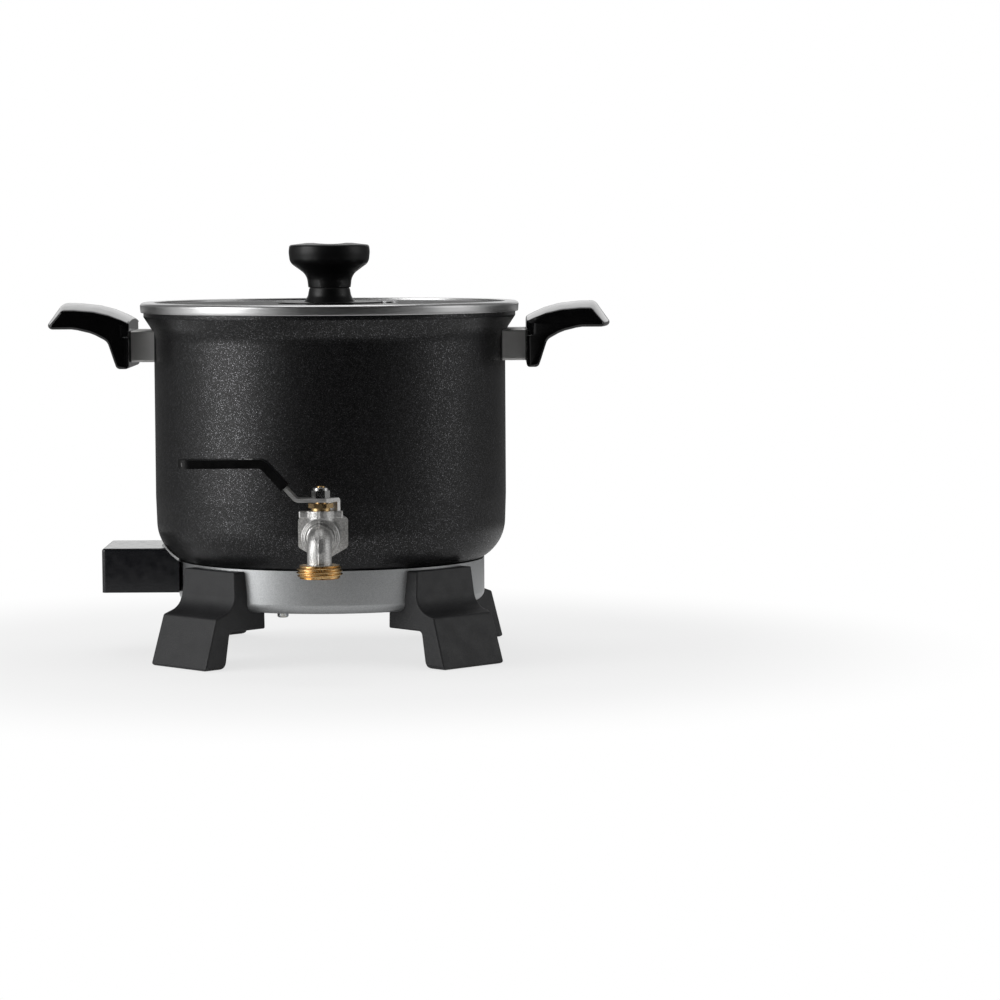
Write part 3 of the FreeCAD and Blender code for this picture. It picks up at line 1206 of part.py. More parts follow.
def tap_body():
    """Barrel round the ball, neck, elbow, spout with its threaded end, and bonnet with stop lugs."""
    level = dim.tap_height
    body = along_tap("tap_body", [
        (-dim.barrel_start, 0), (-dim.barrel_start, dim.barrel_radius, 0.8),
        (-dim.barrel_end, dim.barrel_radius, 1.2), (-dim.shoulder_end, dim.shoulder_radius),
        (-dim.neck_start, dim.neck_radius), (-dim.neck_end, dim.neck_radius), (-dim.neck_end, 0)])
    tube = new_sketch(body, "XZ_Plane", dim.neck_end - 1)
    circle(tube, 0, 0, dim.neck_radius)
    pipe(body, "AdditivePipe", tube, spout_route(body))
    outlet = new_sketch(body, "XY_Plane", dim.spout_end - level)
    circle(outlet, 0, -dim.spout_reach, dim.outlet_radius)
    pad(body, outlet, dim.outlet_top - dim.spout_end)
    low, high = dim.spout_end.number, dim.outlet_top.number
    soften(body, "Chamfer", dim.outlet_chamfer,
           lambda point: min(abs(point.z + level.number - low), abs(point.z + level.number - high)) < 0.01
           and math.hypot(point.x, point.y + dim.spout_reach.number) > dim.outlet_radius.number - 0.1)
    bonnet = new_sketch(body, "XY_Plane", size(4))
    circle(bonnet, 0, -dim.stem_reach, dim.bonnet_radius)
    pad(body, bonnet, dim.bonnet_top - level - 4)
    lugs = new_sketch(body, "XY_Plane", dim.lug_low - level)
    near, far = -(dim.stem_reach - dim.lug_half), -(dim.stem_reach + dim.lug_half)
    outline(lugs, (-dim.lug_reach, far, 1), (dim.lug_reach, far, 1), (dim.lug_reach, near, 1),
            (-dim.lug_reach, near, 1))
    pad(body, lugs, dim.lug_high - dim.lug_low)
    chamber = new_sketch(body, "YZ_Plane")
    outline(
        chamber,
        (-(dim.barrel_start - 1), 0), (-(dim.barrel_start - 1), dim.inlet_radius),
        (-dim.cavity_end, dim.inlet_radius), (-dim.cavity_end, dim.seat_pocket),
        (-dim.seat_depth_out, dim.seat_pocket), (-dim.seat_depth_out, dim.flow_radius),
        (-dim.neck_end, dim.flow_radius), (-dim.neck_end, 0),
    )
    groove(body, chamber, "H_Axis")
    bore = new_sketch(body, "XZ_Plane", dim.neck_end - 1)
    circle(bore, 0, 0, dim.flow_radius)
    pipe(body, "SubtractivePipe", bore, spout_route(body))
    recess = new_sketch(body, "XY_Plane", dim.spout_end - level)
    circle(recess, 0, -dim.spout_reach, dim.outlet_recess_radius)
    pocket(body, recess, dim.outlet_recess, reverse=True)
    top = dim.bonnet_top - level
    for radius, start, depth in (
            (dim.gland_bore, top, dim.bonnet_top - dim.gland_floor),
            (dim.stem_radius + dim.running_fit, top, top - 2),
            (dim.collar_pocket, dim.collar_roof - level, dim.collar_roof - level - 2)):
        well = new_sketch(body, "XY_Plane", start)
        circle(well, 0, -dim.stem_reach, radius)
        pocket(body, well, depth)
    return part_of_row(body)


def tap_seats():
    """Two PTFE rings with a conical face that touches the ball."""
    reach = dim.ball_radius + dim.running_fit
    contact = dim.seat_contact
    offset = Size(math.sqrt(reach.number ** 2 - contact.number ** 2),
                  f"sqrt({reach.text} * {reach.text} - {contact.text} * {contact.text})")
    face_radius = (reach * reach - offset * dim.seat_front) / contact
    bore_offset = (reach * reach - contact * dim.flow_radius) / offset
    seat = turned("tap_seat", [
        (dim.seat_front, face_radius), (bore_offset, dim.flow_radius), (dim.seat_back, dim.flow_radius),
        (dim.seat_back, dim.seat_outer), (dim.seat_front, dim.seat_outer)],
        plane="YZ_Plane", axis="H_Axis")
    return group("tap_seats", seat, [(0, -dim.stem_reach, dim.tap_height, turn) for turn in (0, 180)])


def about_stem(label, corners):
    """A piece turned about the stem's upright axis."""
    return turned(label, corners, y=-dim.stem_reach)


def stem_packing():
    bore = dim.stem_radius + dim.running_fit
    return part_of_row(about_stem("stem_packing", [
        (bore, dim.gland_floor), (dim.gland_bore, dim.gland_floor), (dim.gland_bore, dim.packing_top),
        (bore, dim.packing_top)]))


def tap_gland():
    """Brass gland screw: a round neck in the bonnet and a hexagon above it."""
    bore = dim.stem_radius + dim.running_fit
    body = about_stem("tap_gland", [
        (bore, dim.packing_top), (dim.gland_bore, dim.packing_top), (dim.gland_bore, dim.gland_hex_low),
        (bore, dim.gland_hex_low)])
    flats = new_sketch(body, "XY_Plane", dim.gland_hex_low)
    outline(flats, *hexagon(dim.gland_flats))
    circle(flats, 0, 0, bore)
    pad(body, flats, dim.gland_top - dim.gland_hex_low)
    return part_of_row(body)


def tap_ball():
    """Ball with its bore across the flow while the tap is shut, and a slot for the stem."""
    body = new_body("tap_ball", y=-dim.stem_reach, z=dim.tap_height)
    sphere = body.newObject("PartDesign::AdditiveSphere", "tap_ball_sphere")
    sphere.Radius = dim.ball_radius.number
    bind(sphere, Radius=dim.ball_radius)
    bore = new_sketch(body, "YZ_Plane")
    circle(bore, 0, 0, dim.ball_bore)
    pocket(body, bore, both_ways=True)
    slot = new_sketch(body, "XZ_Plane")
    outline(slot, (-dim.slot_half, dim.slot_floor), (dim.slot_half, dim.slot_floor),
            (dim.slot_half, dim.ball_radius + 1), (-dim.slot_half, dim.ball_radius + 1))
    pocket(body, slot, both_ways=True)
    return part_of_row(body)


def stem_square(sketch):
    """The rounded oblong that keys the lever to the stem."""
    along, across = dim.stem_long / 2, dim.stem_short / 2
    outline(sketch, (-along, -across, dim.stem_corner), (along, -across, dim.stem_corner),
            (along, across, dim.stem_corner), (-along, across, dim.stem_corner))


def tap_stem():
    """Stem with a tang in the ball, a collar that keeps it in, a keyed part and a threaded end."""
    lever_top = dim.stem_square_low + dim.lever_sheet
    body = about_stem("tap_stem", [
        (0, dim.collar_low), (dim.collar_radius, dim.collar_low), (dim.collar_radius, dim.collar_high),
        (dim.stem_radius, dim.collar_high), (dim.stem_radius, dim.stem_square_low),
        (0, dim.stem_square_low)])
    tang = new_sketch(body, "XY_Plane", dim.tang_low)
    half = dim.tang_length / 2
    outline(tang, (-dim.tang_half, -half), (dim.tang_half, -half), (dim.tang_half, half),
            (-dim.tang_half, half))
    pad(body, tang, dim.collar_low - dim.tang_low)
    key = new_sketch(body, "XY_Plane", dim.stem_square_low)
    stem_square(key)
    pad(body, key, dim.lever_sheet)
    end = new_sketch(body, "XZ_Plane")
    outline(end, (0, lever_top), (dim.stem_thread, lever_top), (dim.stem_thread, dim.stem_top, 0.7),
            (0, dim.stem_top))
    revolve(body, end)
    return part_of_row(body)


def lever_course(thickness, start, end):
    """The side outline of a strip that follows the lever's bends, from start to end."""
    half = thickness / 2
    level = dim.stem_square_low + dim.lever_sheet / 2
    high = level + dim.lever_rise
    run = dim.lever_rise_end - dim.lever_bend
    slope = Size(math.hypot(run.number, dim.lever_rise.number),
                 f"sqrt({run.text} * {run.text} + {dim.lever_rise.text} * {dim.lever_rise.text})")
    shift = half * (slope - run) / dim.lever_rise
    return half, level, high, run, slope, shift


def tap_lever():
    """Pressed lever: a flat round the stem with a bent-down stop, a rise and a long handle."""
    body = new_body("tap_lever", y=-dim.stem_reach)
    half, level, high, _, _, shift = lever_course(dim.lever_sheet, dim.lever_root, dim.lever_end)
    wide_bend = dim.lever_inner_bend + dim.lever_sheet
    strip = new_sketch(body, "XZ_Plane")
    outline(
        strip,
        (dim.lever_root, level - half),
        (dim.lever_root, level + half),
        (-(dim.lever_bend - shift), level + half, dim.lever_inner_bend),
        (-(dim.lever_rise_end - shift), high + half, wide_bend),
        (-dim.lever_end, high + half),
        (-dim.lever_end, high - half),
        (-(dim.lever_rise_end + shift), high - half, dim.lever_inner_bend),
        (-(dim.lever_bend + shift), level - half, wide_bend),
    )
    pad(body, strip, dim.lever_half * 2, both_ways=True)
    stop_outer = dim.stop_inner + dim.lever_sheet
    root = size(0)
    head = new_sketch(body, "XY_Plane", dim.stem_square_low)
    outline(
        head,
        (-6, -dim.lever_half),
        (dim.lever_root, -dim.lever_half),
        swung(stop_outer, -dim.stop_half, dim.stop_angle),
        swung(stop_outer, dim.stop_half, dim.stop_angle),
        swung(root, dim.stop_half, dim.stop_angle),
        (-6, dim.lever_half),
    )
    pad(body, head, dim.lever_sheet)
    stop = new_sketch(body, "XY_Plane", dim.stop_low)
    outline(
        stop,
        swung(dim.stop_inner, -dim.stop_half, dim.stop_angle),
        swung(stop_outer, -dim.stop_half, dim.stop_angle),
        swung(stop_outer, dim.stop_half, dim.stop_angle),
        swung(dim.stop_inner, dim.stop_half, dim.stop_angle),
    )
    pad(body, stop, dim.stem_square_low + dim.lever_sheet - dim.stop_low)
    top = (dim.stem_square_low + dim.lever_sheet).number - 0.01
    reach = stop_outer.number - 0.01
    turn = math.radians(dim.stop_angle.number)
    soften(body, "Fillet", dim.stop_round,
           lambda point: point.z > top and point.x * math.cos(turn) + point.y * math.sin(turn) > reach)
    key = new_sketch(body, "XY_Plane", dim.stem_square_low)
    stem_square(key)
    pocket(body, key, dim.lever_sheet, reverse=True)
    return part_of_row(body)


def lever_sleeve():
    """Dipped vinyl sleeve over the lever's handle, with a rounded end."""
    body = new_body("lever_sleeve", y=-dim.stem_reach)
    half, level, high, run, slope, shift = lever_course(dim.sleeve_thick, dim.sleeve_start, dim.sleeve_end)
    along, up = run / slope, dim.lever_rise / slope
    climb = (dim.sleeve_start - dim.lever_bend) / run * dim.lever_rise
    start_x, start_z = -dim.sleeve_start, level + climb
    side = new_sketch(body, "XZ_Plane")
    outline(
        side,
        (start_x + half * up, start_z + half * along),
        (-(dim.lever_rise_end - shift), high + half, dim.sleeve_thick + dim.sleeve_inner_bend),
        (-dim.sleeve_end, high + half, 1.5),
        (-dim.sleeve_end, high - half, 1.5),
        (-(dim.lever_rise_end + shift), high - half, dim.sleeve_inner_bend),
        (start_x - half * up, start_z - half * along),
    )
    pad(body, side, dim.sleeve_half_end * 2 + 2, both_ways=True)
    plan = new_sketch(body, "XY_Plane")
    beyond = dim.sleeve_half_end + 4
    tip = dim.sleeve_end + 3
    for sign in (-1, 1):
        outline(
            plan,
            (-10, sign * dim.sleeve_half_start),
            (-dim.sleeve_end, sign * dim.sleeve_half_end, dim.sleeve_half_end - 0.3),
            (-dim.sleeve_end, sign * 0.05),
            (-tip, sign * 0.05),
            (-tip, sign * beyond),
            (-10, sign * beyond),
        )
    pocket(body, plan, reverse=True)
    hollow, _, _, _, _, inner_shift = lever_course(dim.lever_sheet, dim.sleeve_start, dim.lever_end)
    room = new_sketch(body, "XZ_Plane")
    far_x, far_z = start_x + 4, start_z - 4 * dim.lever_rise / run
    outline(
        room,
        (far_x + hollow * up, far_z + hollow * along),
        (-(dim.lever_rise_end - inner_shift), high + hollow, dim.lever_inner_bend + dim.lever_sheet),
        (-dim.lever_end, high + hollow),
        (-dim.lever_end, high - hollow),
        (-(dim.lever_rise_end + inner_shift), high - hollow, dim.lever_inner_bend),
        (far_x - hollow * up, far_z - hollow * along),
    )
    pocket(body, room, dim.lever_half * 2, both_ways=True)
    return part_of_row(body)


def lever_nut():
    """Hexagonal lock nut with a round collar for its nylon ring."""
    low = dim.stem_square_low + dim.lever_sheet
    body = about_stem("lever_nut", [
        (dim.stem_thread, low), (dim.lever_nut_collar, low), (dim.lever_nut_collar, dim.lever_nut_top, 0.6),
        (dim.insert_radius, dim.lever_nut_top), (dim.insert_radius, dim.insert_low),
        (dim.stem_thread, dim.insert_low)])
    flats = new_sketch(body, "XY_Plane", low)
    outline(flats, *hexagon(dim.lever_nut_flats))
    circle(flats, 0, 0, dim.insert_radius)
    pad(body, flats, dim.lever_nut_hex_top - low)
    return part_of_row(body)


def nut_insert():
    return part_of_row(about_stem("nut_insert", [
        (dim.stem_thread, dim.insert_low), (dim.insert_radius, dim.insert_low),
        (dim.insert_radius, dim.insert_top), (dim.stem_thread, dim.insert_top)]))


# ---------------------------------------------------------------- lid


def lid_glass():
    """Flat toughened glass with a centre hole for the knob and a hole for the vent."""
    body = turned("lid_glass", [
        (dim.glass_bore, dim.glass_low), (dim.glass_radius, dim.glass_low, dim.glass_edge),
        (dim.glass_radius, dim.glass_top, dim.glass_edge), (dim.glass_bore, dim.glass_top)])
    vent = new_sketch(body, "XY_Plane")
    circle(vent, dim.vent_x, 0, dim.vent_radius)
    pocket(body, vent, dim.glass_top + 1, reverse=True)
    return part_of_row(body)


def lid_rim():
    """Rolled steel band round the glass, with a lip outside the pot's rim and a skirt inside it."""
    return part_of_row(turned("lid_rim", [
        (dim.lid_band_inner, dim.glass_top), (dim.lid_band_inner, dim.lid_rim_top, 0.3),
        (dim.lid_rim_radius, dim.lid_rim_top, dim.lid_rim_round), (dim.lid_rim_radius, dim.lid_rim_lip, 0.4),
        (dim.lid_lip_inner, dim.lid_rim_lip), (dim.lid_lip_inner, dim.lid_seat),
        (dim.lid_skirt_outer, dim.lid_seat), (dim.lid_skirt_outer, dim.lid_skirt_low),
        (dim.lid_skirt_inner, dim.lid_skirt_low), (dim.lid_skirt_inner, dim.lid_ledge_low),
        (dim.lid_ledge, dim.lid_ledge_low), (dim.lid_ledge, dim.glass_low),
        (dim.glass_radius, dim.glass_low), (dim.glass_radius, dim.glass_top)]))


def knob_collar():
    """Flared collar between the glass and the knob."""
    return part_of_row(turned("knob_collar", [
        (dim.knob_screw_radius, dim.glass_top), (dim.collar_base, dim.glass_top),
        (dim.collar_base - 0.5, dim.glass_top + 0.8), (dim.collar_waist, dim.glass_top + 4.2, 6),
        (dim.collar_top_radius, dim.collar_top), (dim.knob_screw_radius, dim.collar_top)]))


def lid_knob():
    """Moulded knob: a neck that opens to a wide head with a shallow scoop across its top."""
    body = turned("lid_knob", [
        (dim.knob_screw_radius, dim.grip_knob_start), (dim.grip_knob_base, dim.grip_knob_start, 0.4),
        (dim.grip_knob_neck, dim.grip_knob_neck_height, 9), (dim.grip_knob_wide, dim.grip_knob_wide_height, 6),
        (dim.grip_knob_radius, 244.5, 12),
        (dim.grip_knob_radius - 0.5, dim.grip_knob_edge_height - 0.2, 1.6),
        (dim.grip_knob_ring, dim.grip_knob_top), (0, dim.grip_knob_top),
        (0, dim.knob_screw_end + 1), (dim.knob_screw_radius, dim.knob_screw_end + 1)])
    spigot = new_sketch(body, "XY_Plane", dim.collar_top)
    circle(spigot, 0, 0, dim.collar_top_radius - 1.2)
    circle(spigot, 0, 0, dim.knob_screw_radius)
    pad(body, spigot, dim.grip_knob_start - dim.collar_top)
    scoop = new_sketch(body, "XZ_Plane")
    circle(scoop, 0, dim.grip_knob_top - dim.scoop_depth + dim.scoop_radius, dim.scoop_radius)
    pocket(body, scoop, both_ways=True)
    return part_of_row(body)


def knob_screw():
    """Pan-head screw up through the glass into the knob."""
    return part_of_row(turned("knob_screw", [
        (0, dim.knob_screw_low), (dim.knob_screw_head, dim.knob_screw_low, 1.5),
        (dim.knob_screw_head, dim.knob_washer_low), (dim.knob_screw_radius, dim.knob_washer_low),
        (dim.knob_screw_radius, dim.knob_screw_end), (0, dim.knob_screw_end)]))


def knob_washer():
    return part_of_row(turned("knob_washer", [
        (dim.knob_screw_radius, dim.knob_washer_low), (dim.knob_washer_radius, dim.knob_washer_low),
        (dim.knob_washer_radius, dim.glass_low), (dim.knob_screw_radius, dim.glass_low)]))


def vent_eyelet():
    """Steel eyelet of the steam vent, flanged above and below the glass."""
    top, low = dim.glass_top + dim.vent_proud, dim.glass_low - dim.vent_proud
    return part_of_row(turned("vent_eyelet", [
        (dim.vent_bore, low), (dim.vent_flange, low), (dim.vent_flange, dim.glass_low),
        (dim.vent_radius, dim.glass_low), (dim.vent_radius, dim.glass_top), (dim.vent_flange, dim.glass_top),
        (dim.vent_flange, top, 0.4), (dim.vent_bore, top)], x=dim.vent_x))


# ---------------------------------------------------------------- the whole row

base_pan()
heating_plate()
heating_element()
heat_shield()
shield_spacers()
pan_screws()
plate_stud()
plate_nut()
sensor_bulb()
thermal_fuse()
element_leads()
for name, angle in (("foot_rear_right", 45), ("foot_rear_left", 135),
                    ("foot_front_left", 225), ("foot_front_right", 315)):
    foot(name, angle)
foot_screws()
control_housing()
control_cover()
cover_screws()
housing_screws()
wire_grommet()
terminal_block()
thermostat()
thermostat_nut()
pilot_lens()
cord_bush()
dial_shaft()
dial_knob()
pot_shell()
for name, angle in (("right", 0), ("left", 180)):
    flame_guard(f"flame_guard_{name}", angle)
    grip(f"grip_{name}", angle)
handle_brackets()
handle_rivets()
handle_screws()
handle_nuts()
tap_outer_seal()
tap_wall_nut()
tap_inner_seal()
tap_inner_washer()
tap_lock_nut()
tap_inlet()
tap_body()
tap_seats()
stem_packing()
tap_gland()
tap_ball()
tap_stem()
tap_lever()
lever_sleeve()
lever_nut()
nut_insert()
lid_glass()
lid_rim()
knob_collar()
lid_knob()
knob_screw()
knob_washer()
vent_eyelet()
doc.recompute()

for item in doc.Objects:
    if "Invalid" in item.State or "Error" in item.State:
        raise ValueError(f"{item.Name} failed: {item.State}")
for item in parts:
    if item.Shape.isNull() or not item.Shape.isValid() or not item.Shape.Solids:
        raise ValueError(f"{item.Label} has no valid solid")

os.makedirs("parts", exist_ok=True)
for item in parts:
    item.Shape.exportStep(f"parts/{item.Label}.step")
print(len(parts), "sub-parts written")
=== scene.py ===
import math

import bmesh
import bpy
import numpy as np
from mathutils import Matrix, Vector


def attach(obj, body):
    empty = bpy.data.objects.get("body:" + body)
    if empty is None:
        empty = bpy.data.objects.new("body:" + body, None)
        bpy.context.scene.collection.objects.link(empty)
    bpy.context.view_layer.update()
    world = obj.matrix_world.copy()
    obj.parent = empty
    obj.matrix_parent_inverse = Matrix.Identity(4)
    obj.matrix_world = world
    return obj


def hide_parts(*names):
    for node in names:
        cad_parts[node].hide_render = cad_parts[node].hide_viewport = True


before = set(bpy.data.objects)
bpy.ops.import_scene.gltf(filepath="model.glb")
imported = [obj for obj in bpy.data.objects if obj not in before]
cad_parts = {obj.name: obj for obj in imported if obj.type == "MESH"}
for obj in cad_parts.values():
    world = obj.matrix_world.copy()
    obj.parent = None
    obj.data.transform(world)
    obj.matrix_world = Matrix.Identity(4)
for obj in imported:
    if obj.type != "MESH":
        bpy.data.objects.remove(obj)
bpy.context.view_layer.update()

# A candle wax melter, dressed in the order in which it is put together: hot plate, control box,
# feet, pot, handles, tap, lever, lid. Lengths are metres where nothing else is said.


# ---------------------------------------------------------------- Base pan
# A round pan drawn from 1 mm steel sheet and sprayed with silver stoving paint. It stands on the
# four feet and holds the hot plate. The paint's aluminium flakes make it sparkle from close by.

def by_operator(operation, flipped=False):
    """A method that adds a Math node for an operator, its terms the other way if flipped."""
    def work_out(self, other):
        terms = (other, self) if flipped else (self, other)
        return self.finish.node("Math", {"operation": operation}, dict(enumerate(terms)))
    return work_out


class Value:
    """A shader socket that can stand in a sum."""

    def __init__(self, finish, socket):
        self.finish, self.socket = finish, socket

    __add__, __radd__ = by_operator("ADD"), by_operator("ADD", True)
    __sub__, __rsub__ = by_operator("SUBTRACT"), by_operator("SUBTRACT", True)
    __mul__, __rmul__ = by_operator("MULTIPLY"), by_operator("MULTIPLY", True)

    def sine(self):
        return self.finish.node("Math", {"operation": "SINE"}, {0: self})


class Finish:
    """The node tree of a material, or of the world, and the patterns that it is made from."""

    def __init__(self, owner):
        owner.use_nodes = True
        self.owner, self.tree = owner, owner.node_tree
        self.tree.nodes.clear()

    def node(self, kind, settings=None, inputs=None, output=0):
        """Adds a node, sets it, then gives each input its number, colour or link."""
        made = self.tree.nodes.new("ShaderNode" + kind)
        for name, value in (settings or {}).items():
            setattr(made, name, value)
        for name, value in (inputs or {}).items():
            if isinstance(value, Value):
                self.tree.links.new(value.socket, made.inputs[name])
            elif made.inputs[name].type == "RGBA":
                made.inputs[name].default_value = (*value, 1.0)
            else:
                made.inputs[name].default_value = value
        return Value(self, made.outputs[output]) if made.outputs else None

    def place(self, stretch=(1, 1, 1), turn=(0, 0, 0)):
        """The point's place on the object in metres, turned and stretched for a grain."""
        here = self.node("TexCoord", output="Object")
        if tuple(stretch) == (1, 1, 1) and tuple(turn) == (0, 0, 0):
            return here
        return self.node("Mapping", {}, {"Vector": here, "Rotation": turn, "Scale": stretch})

    def noise(self, size, place=None, detail=2.0):
        """A smooth random value about 0.5, with waves about size across."""
        return self.node("TexNoise", {}, {"Vector": place or self.place(), "Scale": 1 / size,
                                          "Detail": detail})

    def cells(self, size):
        """A random value from 0 to 1 for each cell, with cells about size across."""
        colour = self.node("TexVoronoi", {}, {"Vector": self.place(), "Scale": 1 / size}, "Color")
        return self.node("SeparateColor", {}, {"Color": colour}, "Red")

    def along(self, axis):
        """How far the point lies along an axis, in metres."""
        return self.node("SeparateXYZ", {}, {0: self.place()}, axis)

    def distance(self, place):
        """How far a place lies from the origin."""
        return self.node("VectorMath", {"operation": "LENGTH"}, {0: place}, "Value")

    def waves(self, axis, scale, place=None):
        """Soft bands across an axis, from 0 to 1."""
        return self.node("TexWave", {"bands_direction": axis},
                         {"Vector": place or self.place(), "Scale": scale})

    def grooves(self, value, pitch):
        """A wave from 0 to 1 that repeats each time the value grows by the pitch."""
        return (value * (2 * math.pi / pitch)).sine() * 0.5 + 0.5

    def ramp(self, value, low, high, start=0.0, end=1.0):
        """start where value is under low, end where it is over high, and smooth between them."""
        return self.node("MapRange", {"interpolation_type": "SMOOTHSTEP"},
                         {"Value": value, "From Min": low, "From Max": high,
                          "To Min": start, "To Max": end})

    def mix(self, share, first, second):
        """The first colour where share is 0 and the second where it is 1."""
        return self.node("Mix", {"data_type": "RGBA"}, {0: share, 6: first, 7: second}, 2)

    def relief(self, height, depth, under=None):
        """The normal of a surface that stands up by depth where height is 1."""
        inputs = {"Height": height, "Distance": depth, "Strength": 1.0}
        if under:
            inputs["Normal"] = under
        return self.node("Bump", {}, inputs)

    def shade(self, sockets):
        """Closes the tree with a Principled shader."""
        surface = self.node("BsdfPrincipled", {}, sockets)
        self.node("OutputMaterial", {}, {"Surface": surface})
        return self


def finish(name):
    return Finish(bpy.data.materials.new(name))


def dress(coat, *nodes):
    """Puts a finish on CAD nodes, through their material slots only."""
    for name in nodes:
        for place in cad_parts[name].material_slots:
            place.material = coat.owner


silver_paint = finish("silver_paint")
flake = silver_paint.cells(0.00034)
mottle = silver_paint.noise(0.02)
silver_paint.shade({
    "Base Color": silver_paint.mix(flake * 0.7 + mottle * 0.3,
                                   (0.37, 0.38, 0.385), (0.56, 0.57, 0.575)),
    "Metallic": 0.92,
    "Roughness": silver_paint.ramp(flake, 0.0, 1.0, 0.33, 0.43),
    "Normal": silver_paint.relief(silver_paint.noise(0.0011), 0.00002),
})
dress(silver_paint, "base_pan")


# ---------------------------------------------------------------- Heating plate
# The pot stands on a plate of cast aluminium, faced on a lathe: fine rings on top, the blasted
# grain of the casting on its skirt and underside.

plate_alloy = finish("cast_aluminium")
FACED_FROM, FACED_TO, CUT_PITCH = 0.0545, 0.0549, 0.0009
faced = plate_alloy.ramp(plate_alloy.along("Z"), FACED_FROM, FACED_TO)
rings = plate_alloy.grooves(plate_alloy.distance(plate_alloy.place(stretch=(1, 1, 0))), CUT_PITCH)
grain = plate_alloy.noise(0.0006, detail=4.0)
plate_alloy.shade({
    "Base Color": plate_alloy.mix(plate_alloy.noise(0.015), (0.60, 0.60, 0.59), (0.72, 0.72, 0.71)),
    "Metallic": 1.0,
    "Roughness": plate_alloy.ramp(faced, 0.0, 1.0, 0.5, 0.3),
    "Normal": plate_alloy.relief(rings * faced + grain * (1 - faced), 0.00002),
})
dress(plate_alloy, "heating_plate")


# ---------------------------------------------------------------- Ring heater and bulb
# The heater is a nickel steel tube pressed into the plate, and the thermostat's bulb lies beside
# it. Heat has oxidised the tube to a brown grey.

sheath_steel = finish("oxidised_sheath")
scale = sheath_steel.noise(0.004, detail=5.0)
sheath_steel.shade({
    "Base Color": sheath_steel.mix(scale, (0.10, 0.095, 0.085), (0.26, 0.245, 0.225)),
    "Metallic": 0.85,
    "Roughness": sheath_steel.ramp(scale, 0.3, 0.7, 0.6, 0.4),
    "Normal": sheath_steel.relief(sheath_steel.noise(0.0008, detail=4.0), 0.00003),
})
dress(sheath_steel, "heating_element", "sensor_bulb")


# ---------------------------------------------------------------- Heat shield
# A dish stamped from hot-dipped aluminised sheet hangs under the heater and sends its heat up. The
# dip leaves pale crystals some millimetres across.

shield_alloy = finish("aluminised_sheet")
spangle = shield_alloy.cells(0.006)
shield_alloy.shade({
    "Base Color": shield_alloy.mix(spangle, (0.58, 0.58, 0.58), (0.74, 0.74, 0.73)),
    "Metallic": 1.0,
    "Roughness": shield_alloy.ramp(spangle, 0.0, 1.0, 0.26, 0.42),
    "Normal": shield_alloy.relief(shield_alloy.noise(0.0012), 0.00001),
})
dress(shield_alloy, "heat_shield")


# ---------------------------------------------------------------- Screws, studs and nuts
# Bright zinc-plated steel. The plating is passivated, so it has a faint blue and yellow cloud, and
# the tumbling drum has dulled its edges. The heads that can be seen have a cross recess.

zinc_steel = finish("zinc_plated_steel")
cloud = zinc_steel.noise(0.003)
zinc_steel.shade({
    "Base Color": zinc_steel.mix(zinc_steel.ramp(cloud, 0.35, 0.65),
                                 (0.60, 0.63, 0.67), (0.70, 0.68, 0.62)),
    "Metallic": 1.0,
    "Roughness": zinc_steel.ramp(zinc_steel.noise(0.0007), 0.3, 0.7, 0.24, 0.38),
    "Normal": zinc_steel.relief(zinc_steel.noise(0.0004, detail=3.0), 0.000006),
})
dress(zinc_steel, "shield_spacers", "pan_screws", "plate_stud", "plate_nut", "foot_screws",
      "cover_screws", "housing_screws", "thermostat_nut", "dial_shaft", "handle_brackets",
      "handle_screws", "handle_nuts", "knob_screw", "knob_washer")


def placed(name, data):
    """A new object in the scene that holds the data."""
    holder = bpy.data.objects.new(name, data)
    bpy.context.scene.collection.objects.link(holder)
    return holder


def mesh_object(name, mesh, coat, body):
    """Makes a mesh a piece: faces turned outwards, its finish, the body that carries it and its
    slot."""
    shell = bmesh.new()
    shell.from_mesh(mesh)
    bmesh.ops.remove_doubles(shell, verts=shell.verts, dist=1e-7)
    bmesh.ops.recalc_face_normals(shell, faces=shell.faces)
    shell.to_mesh(mesh)
    shell.free()
    piece = placed(name, mesh)
    mesh.materials.clear()
    mesh.materials.append(coat.owner)
    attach(piece, body)
    return piece


def grid_mesh(name, points, closed=(False, False), smooth_angle=40.0):
    """A mesh over a grid of points, an array of rows by columns by 3; closed joins the last row to
    the first, and the last column to the first. Edges sharper than smooth_angle stay sharp."""
    rows, columns = points.shape[:2]
    i, j = np.meshgrid(np.arange(rows - (not closed[0])), np.arange(columns - (not closed[1])),
                       indexing="ij")
    down, across = (i + 1) % rows, (j + 1) % columns
    faces = np.stack([i * columns + j, i * columns + across, down * columns + across,
                      down * columns + j], axis=-1).reshape(-1, 4)
    mesh = bpy.data.meshes.new(name)
    mesh.from_pydata(points.reshape(-1, 3).tolist(), [], faces.tolist())
    mesh.shade_smooth()
    mesh.set_sharp_from_angle(angle=math.radians(smooth_angle))
    return mesh


SOLID_CREASE, JOINED_CREASE = 32, 38


def closed_solid(name, points):
    """A grid whose columns are joined and whose first and last rows are each filled with one face,
    turned to face outwards."""
    rows, columns = points.shape[:2]
    mesh = grid_mesh(name, points, (False, True))
    work = bmesh.new()
    work.from_mesh(mesh)
    work.verts.ensure_lookup_table()
    for first in (0, (rows - 1) * columns):
        work.faces.new([work.verts[first + column] for column in range(columns)])
    bmesh.ops.remove_doubles(work, verts=work.verts, dist=1e-7)
    bmesh.ops.recalc_face_normals(work, faces=work.faces)
    work.to_mesh(mesh)
    work.free()
    mesh.shade_smooth()
    mesh.set_sharp_from_angle(angle=math.radians(SOLID_CREASE))
    return mesh


